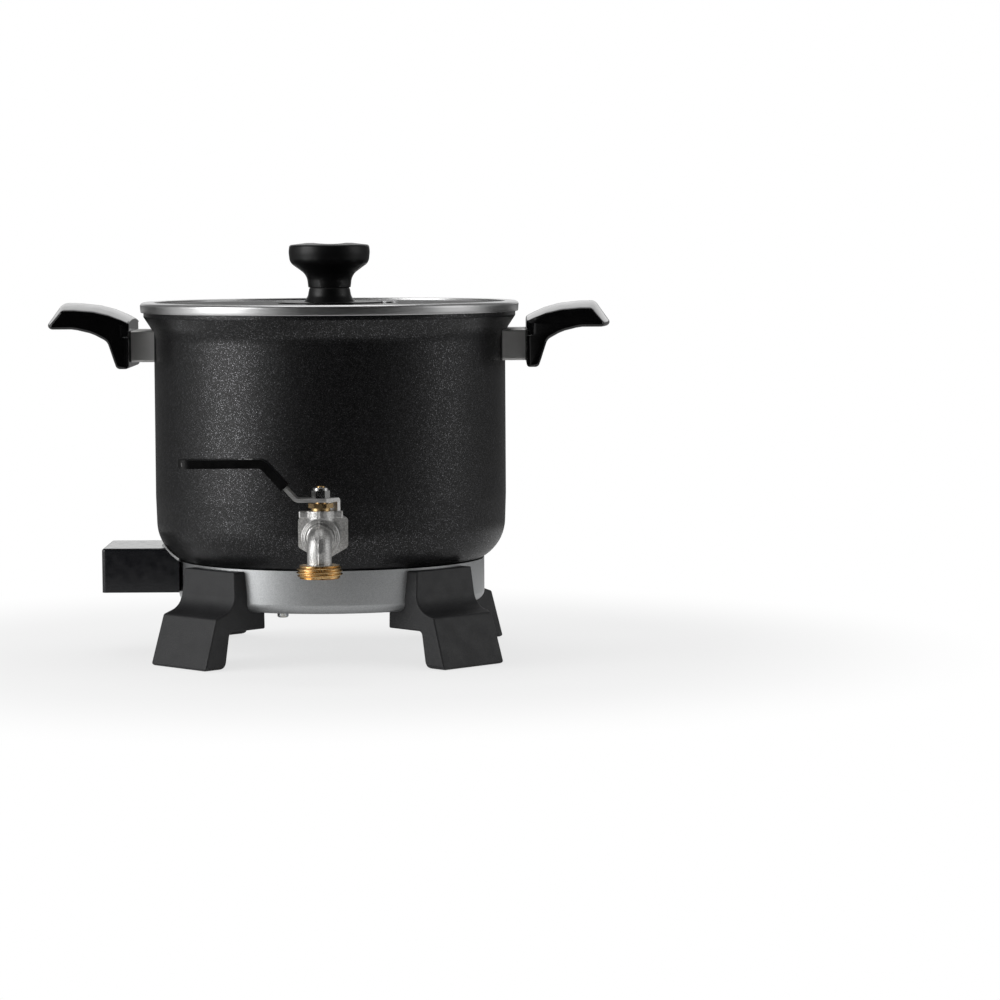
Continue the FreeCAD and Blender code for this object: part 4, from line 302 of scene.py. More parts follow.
def cross_screw(face, around=64):
    """A screw about the Z axis with its head down. face holds its sizes: the head's radius, its
    lowest height, the height of its seat, the shank's radius, its top, how far the edge is rounded,
    and 1 if it is countersunk. The head's face is a polar grid, sunk by the recess depth where a
    point lies within the half width of either arm of the cross; the arms' walls lean by the half
    width."""
    radius, low, seat, shank, top, edge, sunk = face
    reach, half, depth = radius * 0.62, radius * 0.15, radius * 0.42
    turn = np.linspace(0, 2 * np.pi, around, endpoint=False)[:, None]
    out = np.concatenate([np.linspace(0.02, 0.8, 18) * (radius - edge), [radius - edge]])[None, :]
    beside = out * np.minimum(np.abs(np.sin(turn)), np.abs(np.cos(turn)))
    sink = (np.clip((half * 1.5 - beside) / half, 0, 1)
            * np.clip((reach - out) / (0.25 * reach) + 0.3, 0, 1))
    bend = np.radians(np.linspace(12, 90, 6)) if edge else [math.pi / 2]
    rest = [(radius - edge + edge * math.sin(a), low + edge - edge * math.cos(a)) for a in bend]
    rest += [(shank, low + radius - shank)] if sunk else [(radius, seat), (shank, seat)]
    rest = np.array(rest + [(shank, top), (shank * 0.02, top)])
    count = np.ones((around, 1))
    radii = np.hstack([count * out, count * rest[:, 0]])
    heights = np.hstack([low + depth * sink, count * rest[:, 1]])
    points = np.stack([radii * np.cos(turn), radii * np.sin(turn), heights], -1)
    return points.transpose(1, 0, 2) / 1000


def joined_solids(name, parts):
    """One mesh of several closed grids."""
    joined = bmesh.new()
    for number, part in enumerate(parts):
        solid = closed_solid(f"{name}_{number}", part)
        joined.from_mesh(solid)
        bpy.data.meshes.remove(solid)
    mesh = bpy.data.meshes.new(name)
    joined.to_mesh(mesh)
    joined.free()
    mesh.shade_smooth()
    mesh.set_sharp_from_angle(angle=math.radians(JOINED_CREASE))
    return mesh


def screw_set(name, face, places, body, turns=None):
    """One piece of like screws at places, each turned by its matrix if there are turns."""
    turns = turns or [Matrix.Identity(3)] * len(places)
    screws = [cross_screw(face) @ np.array(turn).T + place for place, turn in zip(places, turns)]
    return mesh_object(name, joined_solids(name, screws), zinc_steel, body)


def on_circle(circle_mm, degrees):
    """Points at height 0 on a circle about the pot's axis."""
    return [np.array([math.cos(math.radians(a)), math.sin(math.radians(a)), 0]) * circle_mm / 1000
            for a in degrees]


# The screws' sizes in millimetres, in the order of cross_screw's docstring.
PAN_SCREW = (3.4, 28.9, 32.0, 1.5, 39.0, 1.3, 0)
FOOT_SCREW = (4.0, 23.6, 26.2, 2.0, 37.0, 1.2, 0)
COVER_SCREW = (2.6, 39.4, 40.8, 1.2, 48.4, 0.0, 1)
KNOB_SCREW = (5.5, 205.9, 208.7, 3.0, 236.0, 1.5, 0)
HANDLE_SCREW = (4.2, -129.0, -126.0, 2.5, -111.5, 1.3, 0)

PAN_CIRCLE_MM, PAN_ANGLES = 80.0, (251.1, 341.1, 71.1, 161.1)
FOOT_REACH_MM, FOOT_ASIDE_MM = 83.5, 12.0
COVER_PLACES = [(-0.131, -0.0235, 0.0), (-0.102, -0.0235, 0.0)]
HANDLE_HEIGHT = 0.187

pan_places = on_circle(PAN_CIRCLE_MM, PAN_ANGLES)
pan_cross_screws = screw_set("pan_cross_screws", PAN_SCREW, pan_places, "base")
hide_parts("pan_screws")
foot_swing = math.degrees(math.atan2(FOOT_ASIDE_MM, FOOT_REACH_MM))
foot_angles = [45 + 90 * corner + side * foot_swing for corner in range(4) for side in (-1, 1)]
foot_places = on_circle(math.hypot(FOOT_REACH_MM, FOOT_ASIDE_MM), foot_angles)
foot_cross_screws = screw_set("foot_cross_screws", FOOT_SCREW, foot_places, "base")
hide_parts("foot_screws")
cover_cross_screws = screw_set("cover_cross_screws", COVER_SCREW, COVER_PLACES, "base")
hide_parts("cover_screws")
knob_cross_screw = screw_set("knob_cross_screw", KNOB_SCREW, [(0, 0, 0)], "lid")
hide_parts("knob_screw")
handle_turns = [Matrix.Rotation(math.radians(angle), 3, "Y") for angle in (90, -90)]
handle_cross_screws = screw_set("handle_cross_screws", HANDLE_SCREW, [(0, 0, HANDLE_HEIGHT)] * 2,
                                "pot", handle_turns)
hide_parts("handle_screws")


# ---------------------------------------------------------------- Fuse and terminal block
# The fuse's bead and the block that takes the leads are both fired steatite: a cream body with a
# few brown specks under a thin glaze.

cream_ceramic = finish("cream_ceramic")
speck = cream_ceramic.ramp(cream_ceramic.cells(0.0006), 0.955, 0.965)
cream_ceramic.shade({
    "Base Color": cream_ceramic.mix(speck, (0.70, 0.64, 0.52), (0.34, 0.28, 0.20)),
    "Roughness": cream_ceramic.ramp(cream_ceramic.noise(0.002), 0.3, 0.7, 0.28, 0.45),
    "Normal": cream_ceramic.relief(cream_ceramic.noise(0.0015), 0.00003),
})
dress(cream_ceramic, "thermal_fuse", "terminal_block")


# ---------------------------------------------------------------- Wiring
# Two leads in glass-braid sleeves run from the heater to the terminal block through a black rubber
# grommet. The mains cord's bush and the tap's two seals are of the same rubber.

white_sleeve = finish("glass_braid")
BRAID_WAVES = 260
bias = white_sleeve.place(turn=(0, 0, math.radians(45)))
braid = white_sleeve.waves("X", BRAID_WAVES, bias) * white_sleeve.waves("Y", BRAID_WAVES, bias)
white_sleeve.shade({
    "Base Color": white_sleeve.mix(braid, (0.50, 0.48, 0.42), (0.78, 0.76, 0.70)),
    "Roughness": 0.8,
    "Normal": white_sleeve.relief(braid, 0.0001),
})
dress(white_sleeve, "element_leads")

black_rubber = finish("black_rubber")
dust = black_rubber.noise(0.0025, detail=4.0)
black_rubber.shade({
    "Base Color": black_rubber.mix(dust, (0.014, 0.014, 0.014), (0.030, 0.030, 0.030)),
    "Roughness": black_rubber.ramp(dust, 0.3, 0.7, 0.58, 0.74),
    "Normal": black_rubber.relief(black_rubber.noise(0.0005, detail=4.0), 0.00003),
})
dress(black_rubber, "wire_grommet", "cord_bush", "tap_outer_seal", "tap_inner_seal")


# ---------------------------------------------------------------- Control box and its cover
# Two mouldings in glossy black polypropylene, screwed together from below. The tool was polished,
# so only a faint haze and fine shallow waves break its reflections.

box_plastic = finish("box_plastic")
haze = box_plastic.noise(0.006, detail=4.0)
box_plastic.shade({
    "Base Color": box_plastic.mix(haze, (0.0085, 0.009, 0.0105), (0.0125, 0.013, 0.0150)),
    "Roughness": box_plastic.ramp(haze, 0.3, 0.7, 0.11, 0.18),
    "Specular IOR Level": 0.6,
    "Normal": box_plastic.relief(box_plastic.noise(0.0009, detail=3.0), 0.000008),
})
dress(box_plastic, "control_housing", "control_cover")


# ---------------------------------------------------------------- Thermostat and indicator
# A bought-in rotary thermostat in a dark phenolic body; a ribbed red lens beside it shows that the
# heater is on. White ticks are pad printed round its dial, with a white line on the dial itself.

switch_plastic = finish("phenolic")
switch_plastic.shade({
    "Base Color": switch_plastic.mix(switch_plastic.cells(0.0005), (0.022, 0.018, 0.015),
                                     (0.040, 0.032, 0.027)),
    "Roughness": 0.5,
    "Normal": switch_plastic.relief(switch_plastic.noise(0.0006), 0.00002),
})
dress(switch_plastic, "thermostat")

lamp_red = finish("red_lens")
prism = lamp_red.waves("Z", 300)
lamp_red.shade({
    "Base Color": lamp_red.mix(prism, (0.42, 0.012, 0.010), (0.60, 0.025, 0.018)),
    "Roughness": 0.12,
    "Transmission Weight": 0.35,
    "IOR": 1.49,
    "Coat Weight": 1.0,
    "Coat Roughness": 0.05,
    "Normal": lamp_red.relief(prism, 0.00008),
})
dress(lamp_red, "pilot_lens")

white_print = finish("white_print")
wear = white_print.noise(0.0006, detail=3.0)
white_print.shade({
    "Base Color": white_print.mix(wear, (0.42, 0.42, 0.42), (0.60, 0.60, 0.60)),
    "Roughness": 0.5,
    "Normal": white_print.relief(wear, 0.00001),
})


def printed_stroke(path, half_widths, proud, normal):
    """A flat stroke as a closed solid: each row has four corners, at the half width on both sides
    of the path, and a little under the surface and proud of it along its normal."""
    path, normal = np.array(path, float), np.array(normal, float)
    along = np.gradient(path, axis=0)
    across = np.cross(normal, along)
    across *= (np.array(half_widths) / np.linalg.norm(across, axis=1))[:, None]
    lift = normal * proud
    return np.stack([path - across - lift, path + across - lift, path + across + lift,
                     path - across + lift], axis=1)


DIAL_ACROSS, DIAL_UP, REAR_WALL, DIAL_FACE = -0.122, 0.0528, 0.0300, 0.0444
TICKS, TICK_ANGLE, TICK_START, TICK_END, LONG_TICK_END = 11, 27, 0.0116, 0.0124, 0.0128

# The ticks follow the dial's travel, three quarters of a turn from its upright rest.
ticks = []
for step in range(TICKS):
    swing = math.radians(-TICK_ANGLE * step)
    path = [(DIAL_ACROSS + reach * math.sin(swing), REAR_WALL, DIAL_UP + reach * math.cos(swing))
            for reach in np.linspace(TICK_START, TICK_END if step % 5 else LONG_TICK_END, 3)]
    ticks.append(printed_stroke(path, [0.00022] * 3, 0.00006, (0, 1, 0)))
mesh_object("dial_ticks", joined_solids("dial_ticks", ticks), white_print, "base")

path = [(DIAL_ACROSS, DIAL_FACE, DIAL_UP + up) for up in np.linspace(0.0022, 0.0072, 6)]
mesh_object("dial_pointer_line", joined_solids("dial_pointer_line", [
    printed_stroke(path, [0.00035] * 6, 0.00005, (0, 1, 0))]), white_print, "dial")


# ---------------------------------------------------------------- Feet
# Four hooked feet moulded in black glass-filled nylon with a spark-eroded texture. Handling has
# left patches that are a little paler and duller. Screws from below hold them to the pan.

foot_plastic = finish("textured_nylon")
pits = foot_plastic.noise(0.0007, detail=3.0)
wear = foot_plastic.noise(0.009, detail=4.0)
foot_plastic.shade({
    "Base Color": foot_plastic.mix(pits * 0.5 + wear * 0.5,
                                   (0.010, 0.0102, 0.0112), (0.022, 0.0224, 0.0240)),
    "Roughness": foot_plastic.ramp(wear, 0.3, 0.7, 0.44, 0.56),
    "Normal": foot_plastic.relief(pits, 0.00016),
})
dress(foot_plastic, "foot_front_left", "foot_front_right", "foot_rear_left", "foot_rear_right")


# ---------------------------------------------------------------- Pot
# Drawn from 2 mm aluminium with a flared rim, then sprayed inside and out with a black non-stick
# coat. Mica flakes in the coat glint where a light is near its mirror angle. A filling mark is
# printed on the inside, opposite the tap.

pot_coat = finish("non_stick_coat")
fleck = pot_coat.ramp(pot_coat.cells(0.00028), 0.95, 0.96)
fine_fleck = pot_coat.ramp(pot_coat.cells(0.00020), 0.88, 0.92)
glint = fleck + fine_fleck * 0.35 * (1 - fleck)
peel = pot_coat.noise(0.0016, detail=2.0)
GRAIN = 0.0005
grit = pot_coat.node("TexVoronoi", {}, {"Vector": pot_coat.place(), "Scale": 1 / GRAIN}, "Distance")
pot_coat.shade({
    "Base Color": pot_coat.mix(glint, (0.0028, 0.0028, 0.0030), (0.21, 0.21, 0.22)),
    "Metallic": glint,
    "Roughness": pot_coat.ramp(peel, 0.3, 0.7, 0.34, 0.40) - glint * 0.12,
    "Specular IOR Level": 0.31,
    "Normal": pot_coat.relief(1 - grit, 0.00004, pot_coat.relief(peel, 0.000025)),
})
dress(pot_coat, "pot_shell")


def finished_mesh(holder):
    """The mesh that an object comes to with its modifiers; the object itself is removed."""
    bpy.context.view_layer.update()
    mesh = bpy.data.meshes.new_from_object(
        holder.evaluated_get(bpy.context.evaluated_depsgraph_get()))
    bpy.data.objects.remove(holder)
    return mesh


def lettering(words, size, proud):
    """Words as a mesh in the XY plane, from x = 0, standing proud / 2 on either side of it."""
    text = bpy.data.curves.new("lettering", "FONT")
    text.body, text.size, text.extrude = words, size, proud / 2
    return finished_mesh(placed("lettering", text))


def moved(mesh, work_out):
    """Puts the mesh's points, an array of rows of (x, y, z), where work_out says."""
    flat = np.empty(len(mesh.vertices) * 3)
    mesh.vertices.foreach_get("co", flat)
    mesh.vertices.foreach_set("co", work_out(flat.reshape(-1, 3)).ravel())
    mesh.update()
    return mesh


POT_INSIDE, MARK_HEIGHT, WORD_START = 0.105, 0.172, 0.003


def on_rear_wall(at):
    """Bends x round the inside of the wall, y becomes height and z stands towards the axis."""
    turn, reach = at[:, 0] / POT_INSIDE, POT_INSIDE + 0.00002 - at[:, 2]
    return np.stack([reach * np.sin(turn), reach * np.cos(turn), MARK_HEIGHT + at[:, 1]], -1)


level_words = moved(lettering("MAX", 0.0052, 0.00016),
                    lambda at: on_rear_wall(at + (WORD_START, 0, 0)))
mesh_object("level_mark", level_words, white_print, "pot")
stroke = printed_stroke([(across, 0.0018, 0) for across in np.linspace(-0.0055, 0.0018, 8)],
                        [0.00035] * 8, 0.00008, (0, 0, 1))
mesh_object("level_line", joined_solids("level_line", [
    on_rear_wall(stroke.reshape(-1, 3)).reshape(stroke.shape)]), white_print, "pot")


# ---------------------------------------------------------------- Handle hardware
# Sleeves folded from brushed stainless sheet keep the heat off the grips. A thin black line of
# painted shade runs round each sleeve where it meets the wall and the grip, standing in for the
# shadow in those gaps. Round aluminium rivets hold the brackets to the wall.

guard_steel = finish("brushed_stainless")
brush = guard_steel.noise(0.00022, guard_steel.place(stretch=(0.03, 1, 1)), detail=2.0)
smear = guard_steel.noise(0.012)
AT_WALL, AT_GRIP, PAINTED_SHADE_WIDTH = 0.1077, 0.1190, 0.0003
from_axis = guard_steel.distance(guard_steel.place(stretch=(1, 1, 0)))
along_arm = guard_steel.along("X")
# Painted shade: the sleeve turns black and non-metallic in a thin band at the pot wall and at the
# grip, for the shadow in the gaps there.
clear_of_painted_shade = (guard_steel.ramp(from_axis, AT_WALL, AT_WALL + PAINTED_SHADE_WIDTH)
        * guard_steel.ramp(along_arm * along_arm, AT_GRIP ** 2, (AT_GRIP + PAINTED_SHADE_WIDTH) ** 2,
                           1.0, 0.0))
guard_steel.shade({
    "Base Color": guard_steel.mix(clear_of_painted_shade, (0.012, 0.012, 0.012), guard_steel.mix(
        brush, (0.58, 0.575, 0.565), (0.72, 0.715, 0.705))),
    "Metallic": clear_of_painted_shade,
    "Roughness": guard_steel.ramp(brush * 0.6 + smear * 0.4, 0.35, 0.65, 0.52, 0.62),
    "Normal": guard_steel.relief(brush, 0.000012),
})
dress(guard_steel, "flame_guard_left", "flame_guard_right")

rivet_alloy = finish("rivet_aluminium")
rivet_alloy.shade({
    "Base Color": rivet_alloy.mix(rivet_alloy.noise(0.001),
                                  (0.66, 0.66, 0.66), (0.76, 0.76, 0.755)),
    "Metallic": 1.0,
    "Roughness": rivet_alloy.ramp(rivet_alloy.noise(0.0006), 0.3, 0.7, 0.26, 0.38),
    "Normal": rivet_alloy.relief(rivet_alloy.noise(0.0008), 0.00001),
})
dress(rivet_alloy, "handle_rivets")


# ---------------------------------------------------------------- Grips
# Two mouldings in black phenolic, crowned on top, sloped off at the tip and polished after
# moulding. A screw in a counterbore under each one draws it against its guard and bracket.

grip_plastic = finish("polished_phenolic")
swirl = grip_plastic.noise(0.010, detail=5.0)
grip_plastic.shade({
    "Base Color": grip_plastic.mix(swirl, (0.0018, 0.0018, 0.0019), (0.0026, 0.0026, 0.0027)),
    "Roughness": grip_plastic.ramp(swirl, 0.3, 0.7, 0.12, 0.19),
    "Specular IOR Level": 0.5,
    "Coat Weight": 0.3,
    "Coat Roughness": 0.06,
    "Normal": grip_plastic.relief(grip_plastic.noise(0.004), 0.00002),
})


def outline_with_corners(corners, spacing):
    """A closed outline through rows of (across, up, radius, other values). Each corner becomes an
    arc that touches both its sides, the sides are divided to the spacing, and the other values stay
    the same round an arc and run evenly along a side."""
    table = np.array(corners, float)
    joined = []
    for last, corner, following in zip(np.roll(table, 1, 0), table, np.roll(table, -1, 0)):
        back, on = last[:2] - corner[:2], following[:2] - corner[:2]
        back, on = back / np.hypot(*back), on / np.hypot(*on)
        half_angle = np.arccos(np.clip(back @ on, -1, 1)) / 2
        if half_angle > np.radians(89):
            joined.append(corner[None, [0, 1, *range(3, table.shape[1])]])
            continue
        middle = (back + on) / np.hypot(*(back + on))
        centre = corner[:2] + middle * corner[2] / np.sin(half_angle)
        first, final = (corner[:2] + side * corner[2] / np.tan(half_angle) - centre
                        for side in (back, on))
        turn = np.pi - 2 * half_angle
        share = np.linspace(0, 1, max(2, int(np.degrees(turn) / 8) + 1))[:, None]
        arc = (first * np.sin((1 - share) * turn) + final * np.sin(share * turn)) / np.sin(turn)
        arc = arc + centre
        joined.append(np.hstack([arc, np.repeat(corner[None, 3:], len(share), 0)]))
    points = np.vstack(joined)
    step = np.roll(points, -1, 0) - points
    parts = np.maximum(1, np.ceil(np.hypot(step[:, 0], step[:, 1]) / spacing)).astype(int)
    which = np.repeat(np.arange(len(points)), parts)
    share = (np.arange(parts.sum()) - np.repeat(np.cumsum(parts) - parts, parts)) / parts[which]
    return points[which] + step[which] * share[:, None]


# The grip's side in millimetres: across, up, corner radius, edge radius, share of the crown's drop.
GRIP_SIDE = [
    (119.8, 175.0, 1.9, 1.2, 0.0), (126.8, 175.0, 2.6, 1.8, 0.0), (128.6, 180.1, 20.0, 1.8, 0.0),
    (132.3, 191.6, 6.0, 1.8, 0.0), (141.0, 196.4, 14.0, 1.8, 0.0), (152.0, 199.1, 20.0, 1.8, 0.0),
    (172.6, 199.2, 2.0, 1.6, 0.0), (161.8, 214.3, 4.5, 1.2, 1.0), (147.0, 213.9, 70.0, 1.2, 1.0),
    (131.5, 211.0, 55.0, 1.2, 1.0), (119.8, 204.9, 1.8, 1.0, 1.0), (119.8, 195.4, 0.4, 0.2, 0.4),
    (119.8, 194.6, 0.4, 0.2, 0.3),
]
# In millimetres, but for the bore, which is in metres.
INNER, TIP, HALF_INNER, HALF_TIP, TIP_BEND_FROM = 119.8, 172.5, 35.2, 43.6, 148.0
CROWN_DROP, CROWN_REACH, CORNER_ABOVE, CORNER_BELOW, NOTCH_UP = 3.6, 41.0, 6.0, 2.4, 194.6
BORE_RADIUS, BORE_START, BORE_END, BORE_SIDES = 0.0045, 0.126, 0.140, 48


def grip_points():
    """The side outline carried across the arm. Row by row it moves out to the half width, which
    grows along the arm; the last rows go round the edge radius, the inner corners are drawn in to
    an upright arc, the top sinks with the square of the distance from the middle, and the tip
    follows a circle about the pot's axis."""
    side = outline_with_corners(GRIP_SIDE, 1.4)
    x, z, edge, crown = side.T
    ahead, behind = np.roll(side, -1, 0), np.roll(side, 1, 0)
    along = ahead[:, :2] - behind[:, :2]
    along /= np.hypot(*along.T)[:, None]
    outward = np.stack([along[:, 1], -along[:, 0]], 1)
    corner = CORNER_BELOW + (CORNER_ABOVE - CORNER_BELOW) * np.clip(z - NOTCH_UP, 0, 1)
    on_inner = x < INNER + 0.05
    retreat = np.where(on_inner, corner, np.maximum(edge, 0.2))
    bend = np.radians(np.linspace(0, 90, 8))[1:]
    flat = np.linspace(-1, 1, 27)
    rows = ([(-1, angle) for angle in bend[::-1]] + [(share, 0.0) for share in flat]
            + [(1, angle) for angle in bend])
    sides, angles = (np.array(column)[:, None] for column in zip(*rows))
    inset = edge * (1 - np.cos(angles))
    across = x - outward[:, 0] * inset
    up = z - outward[:, 1] * inset
    limit = INNER + corner
    across = np.where(across < limit, limit - (limit - across) * np.cos(angles), across)
    half = HALF_INNER + (HALF_TIP - HALF_INNER) * (across - INNER) / (TIP - INNER)
    out = sides * (half - retreat) + np.sign(sides) * retreat * np.sin(angles)
    up = up - CROWN_DROP * crown * (out / CROWN_REACH) ** 2
    reach = np.clip((across - TIP_BEND_FROM) / (TIP - TIP_BEND_FROM), 0, 1)
    across = across - (TIP - np.sqrt(TIP ** 2 - out ** 2)) * reach
    return np.stack([across, out, up], -1) / 1000


def drilled(mesh, cutter):
    """The mesh less the cutter."""
    solid, tool = (placed(part.name, part) for part in (mesh, cutter))
    cut = solid.modifiers.new("cut", "BOOLEAN")
    cut.operation, cut.solver, cut.object = "DIFFERENCE", "EXACT", tool
    made = finished_mesh(solid)
    bpy.data.objects.remove(tool)
    return made


for side_name, sign in (("left", -1), ("right", 1)):
    name = f"moulded_grip_{side_name}"
    turn = np.linspace(0, 2 * np.pi, BORE_SIDES, endpoint=False)
    bore = np.stack([np.stack([np.full(BORE_SIDES, sign * reach), BORE_RADIUS * np.cos(turn),
                               HANDLE_HEIGHT + BORE_RADIUS * np.sin(turn)], -1)
                     for reach in (BORE_START, BORE_END)])
    grip_mesh = drilled(closed_solid(name, grip_points() * (sign, 1, 1)),
                        closed_solid("counterbore", bore))
    grip_mesh.name = name
    grip_piece = mesh_object(name, grip_mesh, grip_plastic, "pot")
    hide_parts(f"grip_{side_name}")


# ---------------------------------------------------------------- Tap nuts, pipe and casting
# Brass castings, blasted and nickel plated. The casting's corners are soft from the mould, whose
# joint left a fine ridge down its front. The steps on its shoulder are turned, and its hose thread
# was cut after plating, so it is bare.


def nickel(name, smoothest, roughest):
    """Nickel plate over a blasted casting; its tarnish moves the roughness between two values."""
    plate = finish(name)
    blast = plate.noise(0.0009, detail=3.0)
    tarnish = plate.noise(0.008, detail=3.0)
    return plate.shade({
        "Base Color": plate.mix(tarnish * 0.4 + plate.ramp(blast, 0.3, 0.7) * 0.6,
                                (0.40, 0.395, 0.385), (0.86, 0.855, 0.84)),
        "Metallic": 1.0,
        "Roughness": plate.ramp(tarnish, 0.3, 0.7, smoothest, roughest),
        "Normal": plate.relief(blast, 0.0003),
    })


valve_nickel = nickel("blasted_nickel", 0.34, 0.44)
dress(valve_nickel, "tap_inner_washer", "tap_lock_nut", "tap_inlet")
dress(nickel("coarse_nickel", 0.52, 0.62), "tap_wall_nut")

ball_nickel = finish("polished_nickel")
ball_nickel.shade({
    "Base Color": ball_nickel.mix(ball_nickel.noise(0.003), (0.62, 0.60, 0.56), (0.70, 0.68, 0.64)),
    "Metallic": 1.0,
    "Roughness": ball_nickel.ramp(ball_nickel.noise(0.001), 0.3, 0.7, 0.10, 0.18),
})
dress(ball_nickel, "tap_ball")

valve_brass = finish("turned_brass")
TURNING_PITCH = 0.0003
turning = valve_brass.grooves(valve_brass.along("Z"), TURNING_PITCH)
film = valve_brass.noise(0.005, detail=3.0)
valve_brass.shade({
    "Base Color": valve_brass.mix(film, (0.66, 0.43, 0.19), (0.82, 0.60, 0.31)),
    "Metallic": 1.0,
    "Roughness": valve_brass.ramp(film, 0.3, 0.7, 0.20, 0.30),
    "Normal": valve_brass.relief(turning, 0.000003),
})
dress(valve_brass, "tap_gland", "tap_stem")


def softened(node, voxel, turns):
    """A copy of a CAD node as a casting: its shell is drawn again on a grid of voxel, and each turn
    moves every point a third of the way to the middle of its neighbours, which rounds the
    corners."""
    source = placed("source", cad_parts[node].data.copy())
    welded = bmesh.new()
    welded.from_mesh(source.data)
    bmesh.ops.remove_doubles(welded, verts=welded.verts, dist=1e-6)
    welded.to_mesh(source.data)
    welded.free()
    grid = source.modifiers.new("grid", "REMESH")
    grid.mode, grid.voxel_size, grid.use_smooth_shade = "VOXEL", voxel, True
    relax = source.modifiers.new("relax", "SMOOTH")
    relax.factor, relax.iterations = 0.33, turns
    return finished_mesh(source)


SPOUT_REACH, OUTLET_LOW, OUTLET_HIGH = 0.157, 0.060, 0.0674
OUTLET_CREST, OUTLET_ROOT, OUTLET_PITCH = 0.01325, 0.0118, 0.0020
TAP_HEIGHT, CORE, CROWN_FROM, FACE_SETBACK = 0.082, 0.0103, 0.0074, 0.0004
SEAM_WIDTH, SEAM_HEIGHT, SEAM_FROM = 0.00035, 0.00028, 0.1385

# Under the thread's ring the casting is drawn in to a core, and its faces are set back.
casting_mesh = softened("tap_body", 0.0004, 3)
points = np.empty(len(casting_mesh.vertices) * 3)
casting_mesh.vertices.foreach_get("co", points)
points = points.reshape(-1, 3)
away = points[:, :2] - (0.0, -SPOUT_REACH)
distance = np.hypot(away[:, 0], away[:, 1])
boss = (points[:, 2] < OUTLET_HIGH + 0.0005) & (distance < OUTLET_CREST + 0.001)
wall = boss & (distance > CORE)
points[wall, :2] = (0.0, -SPOUT_REACH) + away[wall] * (CORE / distance[wall])[:, None]
points[boss, 2] = np.clip(points[boss, 2], OUTLET_LOW + FACE_SETBACK, None)
crown = boss & (distance > CROWN_FROM)
points[crown, 2] = np.clip(points[crown, 2], None, OUTLET_HIGH - FACE_SETBACK)
normals = np.empty(len(casting_mesh.vertices) * 3)
casting_mesh.vertices.foreach_get("normal", normals)
seam = (np.exp(-(points[:, :1] / SEAM_WIDTH) ** 2) * (points[:, 1:2] < -SEAM_FROM)
        * (points[:, 2:] > OUTLET_HIGH + 0.001))
points = points + normals.reshape(-1, 3) * seam * SEAM_HEIGHT
casting_mesh.vertices.foreach_set("co", points.ravel())
casting_mesh.update()
tap_casting = mesh_object("tap_casting", casting_mesh, valve_nickel, "pot")
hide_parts("tap_body")

# The turned steps' section, in millimetres: radius about the barrel's axis, reach from the pot's.
SHOULDER_STEPS = [
    (11.1, 141.5), (11.1, 144.3), (10.9, 144.6), (10.55, 144.85), (10.48, 144.0), (10.12, 144.1),
    (10.05, 145.2), (9.65, 145.5), (9.58, 144.6), (9.22, 144.8), (9.15, 145.9), (8.7, 146.2),
    (8.5, 145.5), (8.5, 144.0), (10.3, 141.5),
]
steps_out, steps_along = np.array(SHOULDER_STEPS).T / 1000
turn = np.linspace(0, 2 * np.pi, 192, endpoint=False)[:, None]
steps = np.stack([steps_out * np.cos(turn), -steps_along + 0 * turn,
                  TAP_HEIGHT + steps_out * np.sin(turn)], -1)
mesh_object("tap_shoulder_steps", grid_mesh("tap_shoulder_steps", steps, (True, True), 25),
            valve_nickel, "pot")


def threaded_ring(start, end, root, crest, pitch, profile, around=192, steps=60):
    """A ring with an outside thread. The outer wall's radius is root plus the tooth, a rounded
    ridge whose place climbs by one pitch in each turn; both sink with the cube of the distance from
    the middle, which chamfers the ends. profile is the rest of the section: (radius, height) points
    from the wall's top end round inside to its bottom end."""
    turn = np.linspace(0, 2 * np.pi, around, endpoint=False)[:, None]
    height = np.linspace(start, end, steps)[None, :]
    phase = (height - start) / pitch - turn / (2 * np.pi)
    ridge = np.clip(0.5 + 0.62 * np.cos(2 * np.pi * phase), 0, 1)
    share = (height - start) / (end - start)
    barrel = 1 - np.abs(2 * share - 1) ** 3
    radius = root - 0.0008 * (1 - barrel) + (crest - root) * ridge * barrel ** 0.5
    rest_out, rest_up = (np.repeat(row[None, :], around, 0) for row in np.array(profile).T)
    radii = np.concatenate([radius, rest_out], axis=1)
    heights = np.concatenate([np.repeat(height, around, 0), rest_up], axis=1)
    return np.stack([radii * np.cos(turn), radii * np.sin(turn), heights], axis=-1)


outlet_section = [(0.0115, OUTLET_HIGH), (0.0071, OUTLET_HIGH), (0.0071, OUTLET_HIGH - 0.0006),
                  (0.0105, OUTLET_HIGH - 0.0012), (0.0101, OUTLET_LOW + 0.0038),
                  (0.00974, OUTLET_LOW + 0.0038), (0.00974, OUTLET_LOW + 0.0003),
                  (0.0100, OUTLET_LOW), (0.0115, OUTLET_LOW)]
outlet = threaded_ring(OUTLET_LOW + 0.0003, OUTLET_HIGH - 0.0003, OUTLET_ROOT, OUTLET_CREST,
                       OUTLET_PITCH, outlet_section)
outlet = outlet + (0.0, -SPOUT_REACH, 0.0)
mesh_object("tap_hose_thread", grid_mesh("tap_hose_thread", outlet, (True, True), 60),
            valve_brass, "pot")

INLET_END, INLET_ROOT, INLET_CREST, INLET_PITCH = 0.0877, 0.00835, 0.00905, 0.0014
inlet_section = [(0.0082, 0.0070), (0.0081, 0.0068), (0.0081, 0.0002), (0.0082, 0.0)]
inlet = threaded_ring(0.0002, 0.0068, INLET_ROOT, INLET_CREST, INLET_PITCH, inlet_section)
inlet = np.stack([inlet[..., 0], -INLET_END - inlet[..., 2], TAP_HEIGHT + inlet[..., 1]], -1)
mesh_object("tap_inlet_thread", grid_mesh("tap_inlet_thread", inlet, (True, True), 60),
            valve_nickel, "pot")


# ---------------------------------------------------------------- Ball seats and packing
# White PTFE rings on both sides of the ball and round the stem, turned from rod. The bonnet and
# the gland press them in place.

